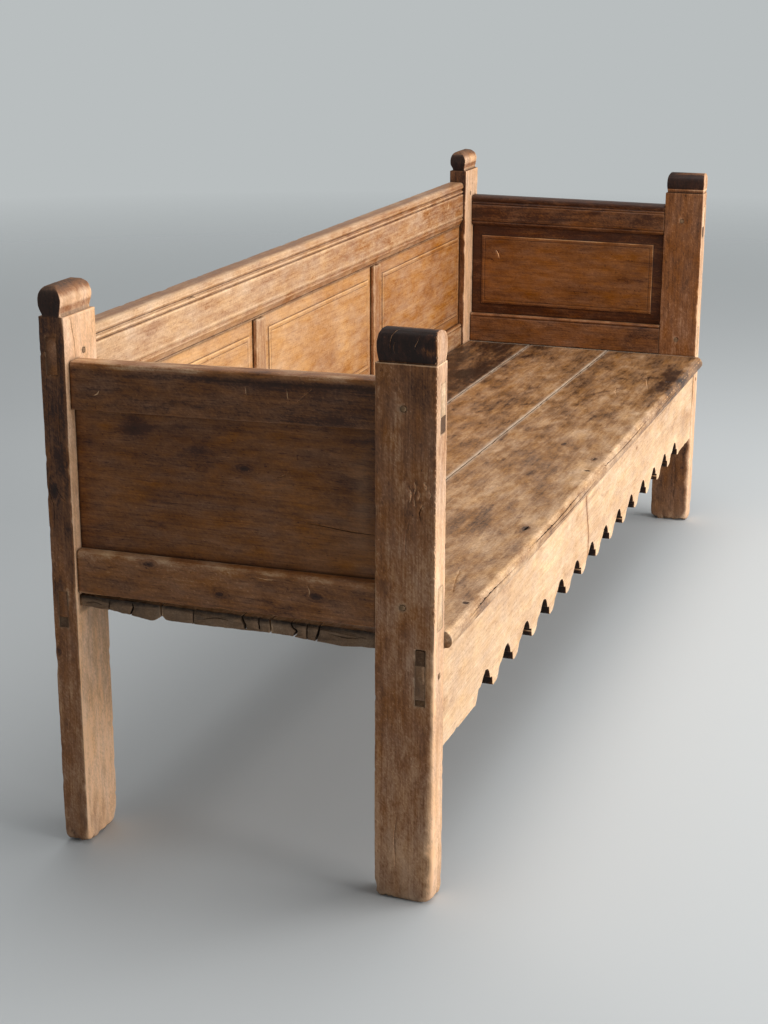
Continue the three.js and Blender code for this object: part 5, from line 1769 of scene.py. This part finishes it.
def wood_material(wood, colours):
    """Old waxed hardwood: rings and fibres along the grain, dark patina and rubbed arrises."""
    tree = emptied(bpy.data.materials.new(FINISHES[wood.slot]))
    kind = wood.slot.split("_")[0]
    dark, middle, light = [tuple(getattr(colours, f"{kind}_{shade}")) for shade in SHADES]
    dimmed = lambda colour, share: (*[min(share * c, 0.9) for c in colour[:3]], 1.0)
    value = partial(calculate, tree)
    vector = lambda operation, *given: add(
        tree, "ShaderNodeVectorMath", dict(enumerate(given)), operation=operation,
    ).outputs
    read = lambda name: add(tree, "ShaderNodeAttribute", attribute_name=name).outputs
    # wavelengths are in mm, along the grain and across it
    noise = lambda place, along, across, detail, rough=0.55, bend=0.0: add(
        tree, "ShaderNodeTexNoise",
        {"Vector": vector("MULTIPLY", place, (1 / along, 1 / across, 1 / across))[0],
         "Scale": 1.0, "Detail": detail, "Roughness": rough, "Distortion": bend},
    ).outputs[0]
    mixed = lambda factor, a, b: add(
        tree, "ShaderNodeMix", {0: factor, 6: a, 7: b}, data_type="RGBA",
    ).outputs[2]
    ramp = lambda source, *stops: add(
        tree, "ShaderNodeValToRGB", {0: source}, stops=stops,
    ).outputs[0]
    marks = lambda source, low, high: ramp(source, (low, 0.0), (high, 1.0))

    # growth rings round the log's middle, bent by slow waves and pushed aside by knots
    grain, knot, knotty = read("grain")["Vector"], read("knot")["Vector"], read("knotty")["Fac"]
    reach = vector("LENGTH", vector("MULTIPLY", knot, (0.5, 1, 1))[0])["Value"]
    near = value("EXPONENT", value("MULTIPLY", value("POWER", reach, 2.0), -0.22))
    around = value("MULTIPLY", knotty, near)
    pushed = add(
        tree, "ShaderNodeVectorMath",
        {0: vector("MULTIPLY", knot, (0, -8, -8))[0], "Scale": around}, operation="SCALE",
    ).outputs[0]
    bend = noise(grain, 320, 60, 2.0)
    sway = add(
        tree, "ShaderNodeCombineXYZ",
        {1: value("MULTIPLY", bend, 20.0), 2: value("MULTIPLY", bend, -14.0)},
    ).outputs[0]
    bent = vector("ADD", vector("ADD", grain, sway)[0], pushed)[0]
    narrow = (0.004, 1 / wood.rings, 1 / wood.rings)
    radius = vector("LENGTH", vector("MULTIPLY", bent, narrow)[0])["Value"]
    late = ramp(
        value("FRACT", radius), (0.0, 0.3), (0.15, 0.1), (0.6, 0.3), (0.88, 0.85), (1.0, 0.3),
    )
    # fibres and pores of the wood itself, then what use and wax have left on it
    fibres = noise(bent, 90, 2.0, 4.0, 0.6)
    pores = marks(noise(bent, 16, 1.5, 2.0), 0.58, 0.7)
    blotches = noise(grain, 42, 15, 5.0, 0.65, 0.6)
    slanted = add(
        tree, "ShaderNodeVectorRotate", {"Vector": grain, "Angle": 0.7, "Axis": (0, 1, 1)},
        rotation_type="AXIS_ANGLE",
    ).outputs[0]
    shade = read("tone")["Fac"]
    for source, amount, middle_of in (
        (noise(bent, 500, 9, 4.0, 0.6), 0.17 * wood.contrast, 0.5),  # streaks
        (noise(grain, 170, 70, 5.0, 0.6, 0.5), 0.36 * wood.contrast, 0.5),  # patina
        (blotches, 0.36 * wood.contrast, 0.5),
        (fibres, 0.25, 0.5),
        (late, -0.06, 0.35),
        (marks(noise(grain, 120, 42, 5.0, 0.62, 0.6), 0.56, 0.7), -0.11 * wood.contrast, 0.2),
        (pores, -0.11, 0.1),
        (marks(noise(grain, 9, 5, 3.0), 0.66, 0.72), -0.15, 0.0),  # dark specks
        (marks(noise(grain, 5, 3.5, 2.0), 0.68, 0.75), 0.14, 0.0),  # pale nicks
        (marks(noise(slanted, 40, 2.2, 2.0), 0.6, 0.72), 0.1 * wood.contrast, 0.05),
        (noise(slanted, 26, 3.2, 4.0, 0.65), 0.34 * wood.contrast, 0.5),  # rubbing askew
        (read("worn")["Fac"], 0.2, 0.0),
    ):
        shade = value("ADD", shade, value("MULTIPLY_ADD", source, amount, -amount * middle_of))
    eye = ramp(
        value("MULTIPLY", reach, 0.2),
        (0.0, 1.0), (0.17, 0.8), (0.24, 0.3), (0.6, 0.08), (1.0, 0.0),
    )
    lines = value("MULTIPLY_ADD", value("SINE", value("MULTIPLY", reach, 7.0)), 0.06, 0.02)
    shade = value("SUBTRACT", shade, value("MULTIPLY", value("MULTIPLY", eye, knotty), 0.36))
    shade = value("SUBTRACT", shade, value("MULTIPLY", lines, around))
    colour = ramp(
        shade, (0.0, dimmed(dark, 0.35)), (0.2, dark), (0.5, middle), (0.88, light),
        (1.0, dimmed(light, 1.3)),
    )
    vivid = value("MULTIPLY_ADD", noise(grain, 70, 26, 4.0), 0.5, 0.73)
    colour = add(
        tree, "ShaderNodeHueSaturation", {"Saturation": vivid, "Color": colour},
    ).outputs[0]

    # grey where the wax is gone, dirt and painted shade in the joints and hollows, end grain that
    # drinks it, dust on top
    dirt, end = read("dirt")["Fac"], read("endgrain")["Fac"]
    speckle = noise(grain, 22, 8, 4.0, 0.7)
    dry = value("MULTIPLY", read("dry")["Fac"], 0.6)
    colour = mixed(dry, colour, mixed(fibres, dimmed(colours.dry, 0.45), dimmed(colours.dry, 1.35)))
    dirt_and_shade_mix = value("MULTIPLY", dirt, value("MULTIPLY_ADD", speckle, 1.2, 0.3))
    colour = mixed(value("MINIMUM", dirt_and_shade_mix, 0.94), colour, tuple(colours.dirt))
    colour = mixed(value("MULTIPLY", end, 0.3), colour, tuple(colours.dirt))
    dusty = value("MULTIPLY", read("dust")["Fac"], value("MULTIPLY_ADD", speckle, 0.8, 0.45))
    colour = mixed(value("MINIMUM", dusty, 0.9), colour, tuple(colours.dust))
    # a broken wax sheen: duller over blotches, over dirt and painted shade, and over end grain, with
    # open fibres and pores
    rough = value("ADD", wood.gloss, value("MULTIPLY_ADD", blotches, 0.3, -0.1))
    rough = value("ADD", rough, value("MULTIPLY", value("MAXIMUM", dirt, end), 0.3))
    height = value("MULTIPLY_ADD", fibres, 1.0, value("MULTIPLY", late, -0.3))
    height = value("SUBTRACT", height, value("MULTIPLY", pores, 0.8))
    bump = add(
        tree, "ShaderNodeBump",
        {"Height": height, "Distance": 0.00025, "Strength": 0.5 + 0.4 * wood.dryness},
    ).outputs[0]
    shader = add(
        tree, "ShaderNodeBsdfPrincipled",
        {"Base Color": colour, "Roughness": value("MINIMUM", rough, 0.95), "Normal": bump,
         "IOR": 1.48, "Specular IOR Level": 0.3},
    ).outputs[0]
    add(tree, "ShaderNodeOutputMaterial", {"Surface": shader})


def iron_material(colours):
    """Forged iron gone brown: dull, pitted and darker in its hollows."""
    tree = emptied(bpy.data.materials.new(FINISHES["iron"]))
    place = add(tree, "ShaderNodeTexCoord").outputs["Object"]
    scale = add(
        tree, "ShaderNodeVectorMath", {0: place, 1: (1 / MM,) * 3}, operation="MULTIPLY",
    ).outputs[0]
    rust = add(tree, "ShaderNodeTexNoise", {"Vector": scale, "Scale": 0.9, "Detail": 4.0}).outputs[0]
    colour = add(
        tree, "ShaderNodeMix", {0: rust, 6: tuple(colours.iron), 7: tuple(colours.rust)},
        data_type="RGBA",
    ).outputs[2]
    bump = add(
        tree, "ShaderNodeBump", {"Height": rust, "Distance": 0.0003, "Strength": 0.6},
    ).outputs[0]
    shader = add(
        tree, "ShaderNodeBsdfPrincipled",
        {"Base Color": colour, "Metallic": 0.6, "Roughness": 0.62, "Normal": bump},
    ).outputs[0]
    add(tree, "ShaderNodeOutputMaterial", {"Surface": shader})


class BENCH_OT_finishes(bpy.types.Operator):
    """Makes the finishes of the woods and of the iron"""

    bl_idname = "bench.finishes"
    bl_label = "Finishes"

    def execute(self, context):
        colours = context.scene.bench_colours
        for wood in WOODS:
            wood_material(wood, colours)
        iron_material(colours)
        return {"FINISHED"}


# Stage

CAMERA_PLACE = (-3.6134, -1.1198, 1.4622)
CAMERA_TURN = (math.radians(72.942), math.radians(-0.133), math.radians(-70.444))
CAMERA_LENS = 64.27
FLOOR_RADIUS = 14
FLOOR_FADE = (2.6, 8.0)  # where the floor starts to clear and where it has gone
# Lamps as (name, place, aim, size, power, tint)
LAMPS = [
    ("window", (0.6, -4.4, 1.4), (0.2, 0, 0.45), (6.2, 2.7), 300, "#fffbf7"),
    ("ceiling", (0.3, -0.4, 4.2), (0, 0, 0), (3.4, 3.4), 115, "#fffdfa"),
]
SKY, SKY_STRENGTH = "#eef1f2", 0.24


def lamp(name, place, aim, size, power, tint):
    """A soft, wide light that looks at its aim."""
    data = bpy.data.lights.new(name, "AREA")
    data.shape = "RECTANGLE"
    data.size, data.size_y = size
    data.energy = power
    data.color = linear(tint)[:3]
    made = placed(name, data)
    made.location = place
    way = Vector(aim) - Vector(place)
    made.rotation_euler = way.to_track_quat("-Z", "Y").to_euler()


def floor_material(colours):
    """Plain, dull floor that fades into the background."""
    material = bpy.data.materials.new("pale_floor")
    tree = emptied(material)
    place = add(tree, "ShaderNodeTexCoord").outputs["Object"]
    away = add(tree, "ShaderNodeVectorMath", {0: place}, operation="LENGTH").outputs["Value"]
    fade = add(
        tree, "ShaderNodeMapRange",
        {"Value": away, "From Min": FLOOR_FADE[0], "From Max": FLOOR_FADE[1]},
    ).outputs[0]
    ground = add(
        tree, "ShaderNodeBsdfPrincipled", {"Base Color": tuple(colours.floor), "Roughness": 0.7},
    ).outputs[0]
    clear = add(tree, "ShaderNodeBsdfTransparent").outputs[0]
    surface = add(tree, "ShaderNodeMixShader", {0: fade, 1: ground, 2: clear}).outputs[0]
    add(tree, "ShaderNodeOutputMaterial", {"Surface": surface})
    return material


def daylight(colours):
    """Soft light from the sky, and a plain backdrop where the camera sees it."""
    world = bpy.data.worlds.new("daylight")
    tree = emptied(world)
    path = add(tree, "ShaderNodeLightPath").outputs
    seen = path["Is Camera Ray"]
    for ray in ("Is Glossy Ray", "Is Transmission Ray"):
        seen = add(
            tree, "ShaderNodeMath", {0: seen, 1: path[ray]}, operation="ADD", use_clamp=True,
        ).outputs[0]
    sky, backdrop = [
        add(tree, "ShaderNodeBackground", {"Color": colour, "Strength": strength}).outputs[0]
        for colour, strength in ((linear(SKY), SKY_STRENGTH), (tuple(colours.backdrop), 1.0))
    ]
    mix = add(tree, "ShaderNodeMixShader", {0: seen, 1: sky, 2: backdrop}).outputs[0]
    add(tree, "ShaderNodeOutputWorld", {"Surface": mix})
    return world


class BENCH_OT_stage(bpy.types.Operator):
    """Makes the camera, the light, the floor and the pale background"""

    bl_idname = "bench.stage"
    bl_label = "Stage"

    def execute(self, context):
        scene = context.scene
        scene.view_settings.view_transform = "Standard"
        colours = scene.bench_colours
        data = bpy.data.cameras.new("camera")
        data.lens = CAMERA_LENS
        data.sensor_width = 36
        camera = placed("camera", data)
        camera.location = CAMERA_PLACE
        camera.rotation_euler = Euler(CAMERA_TURN, "XYZ")
        scene.camera = camera

        bpy.ops.mesh.primitive_circle_add(vertices=96, radius=FLOOR_RADIUS, fill_type="NGON")
        floor = context.object
        floor.name = "floor"
        floor.data.materials.append(floor_material(colours))
        scene.world = daylight(colours)
        for settings in LAMPS:
            lamp(*settings)
        return {"FINISHED"}


class BENCH_PT_panel(bpy.types.Panel):
    """Lists the bench's pieces in the order that they are made"""

    bl_label = "Bench"
    bl_idname = "BENCH_PT_panel"
    bl_space_type = "VIEW_3D"
    bl_region_type = "UI"
    bl_category = "Bench"

    def draw(self, context):
        for group in (context.scene.bench_wear, context.scene.bench_colours):
            for name in group.__annotations__:
                self.layout.prop(group, name)
        for operator in OPERATORS:
            self.layout.operator(operator.bl_idname)


OPERATORS = (
    BENCH_OT_stage, BENCH_OT_finishes, BENCH_OT_posts, BENCH_OT_back_frame, BENCH_OT_back_panels,
    BENCH_OT_arms, BENCH_OT_seat, BENCH_OT_apron, BENCH_OT_bearers, BENCH_OT_wedges,
    BENCH_OT_pegs, BENCH_OT_nails,
)
GROUPS = (BenchWear, BenchColours)


def register():
    """Registers the bench's settings, operators and panel."""
    for item in (*GROUPS, *OPERATORS, BENCH_PT_panel):
        bpy.utils.register_class(item)
    bpy.types.Scene.bench_wear = bpy.props.PointerProperty(type=BenchWear)
    bpy.types.Scene.bench_colours = bpy.props.PointerProperty(type=BenchColours)


def unregister():
    """Takes the bench's settings, operators and panel out again."""
    del bpy.types.Scene.bench_wear
    del bpy.types.Scene.bench_colours
    for item in (BENCH_PT_panel, *reversed(OPERATORS), *reversed(GROUPS)):
        bpy.utils.unregister_class(item)


def main():
    """Makes the whole bench."""
    register()
    for operator in OPERATORS:
        group, name = operator.bl_idname.split(".")
        getattr(getattr(bpy.ops, group), name)()


if __name__ == "__main__":
    main()
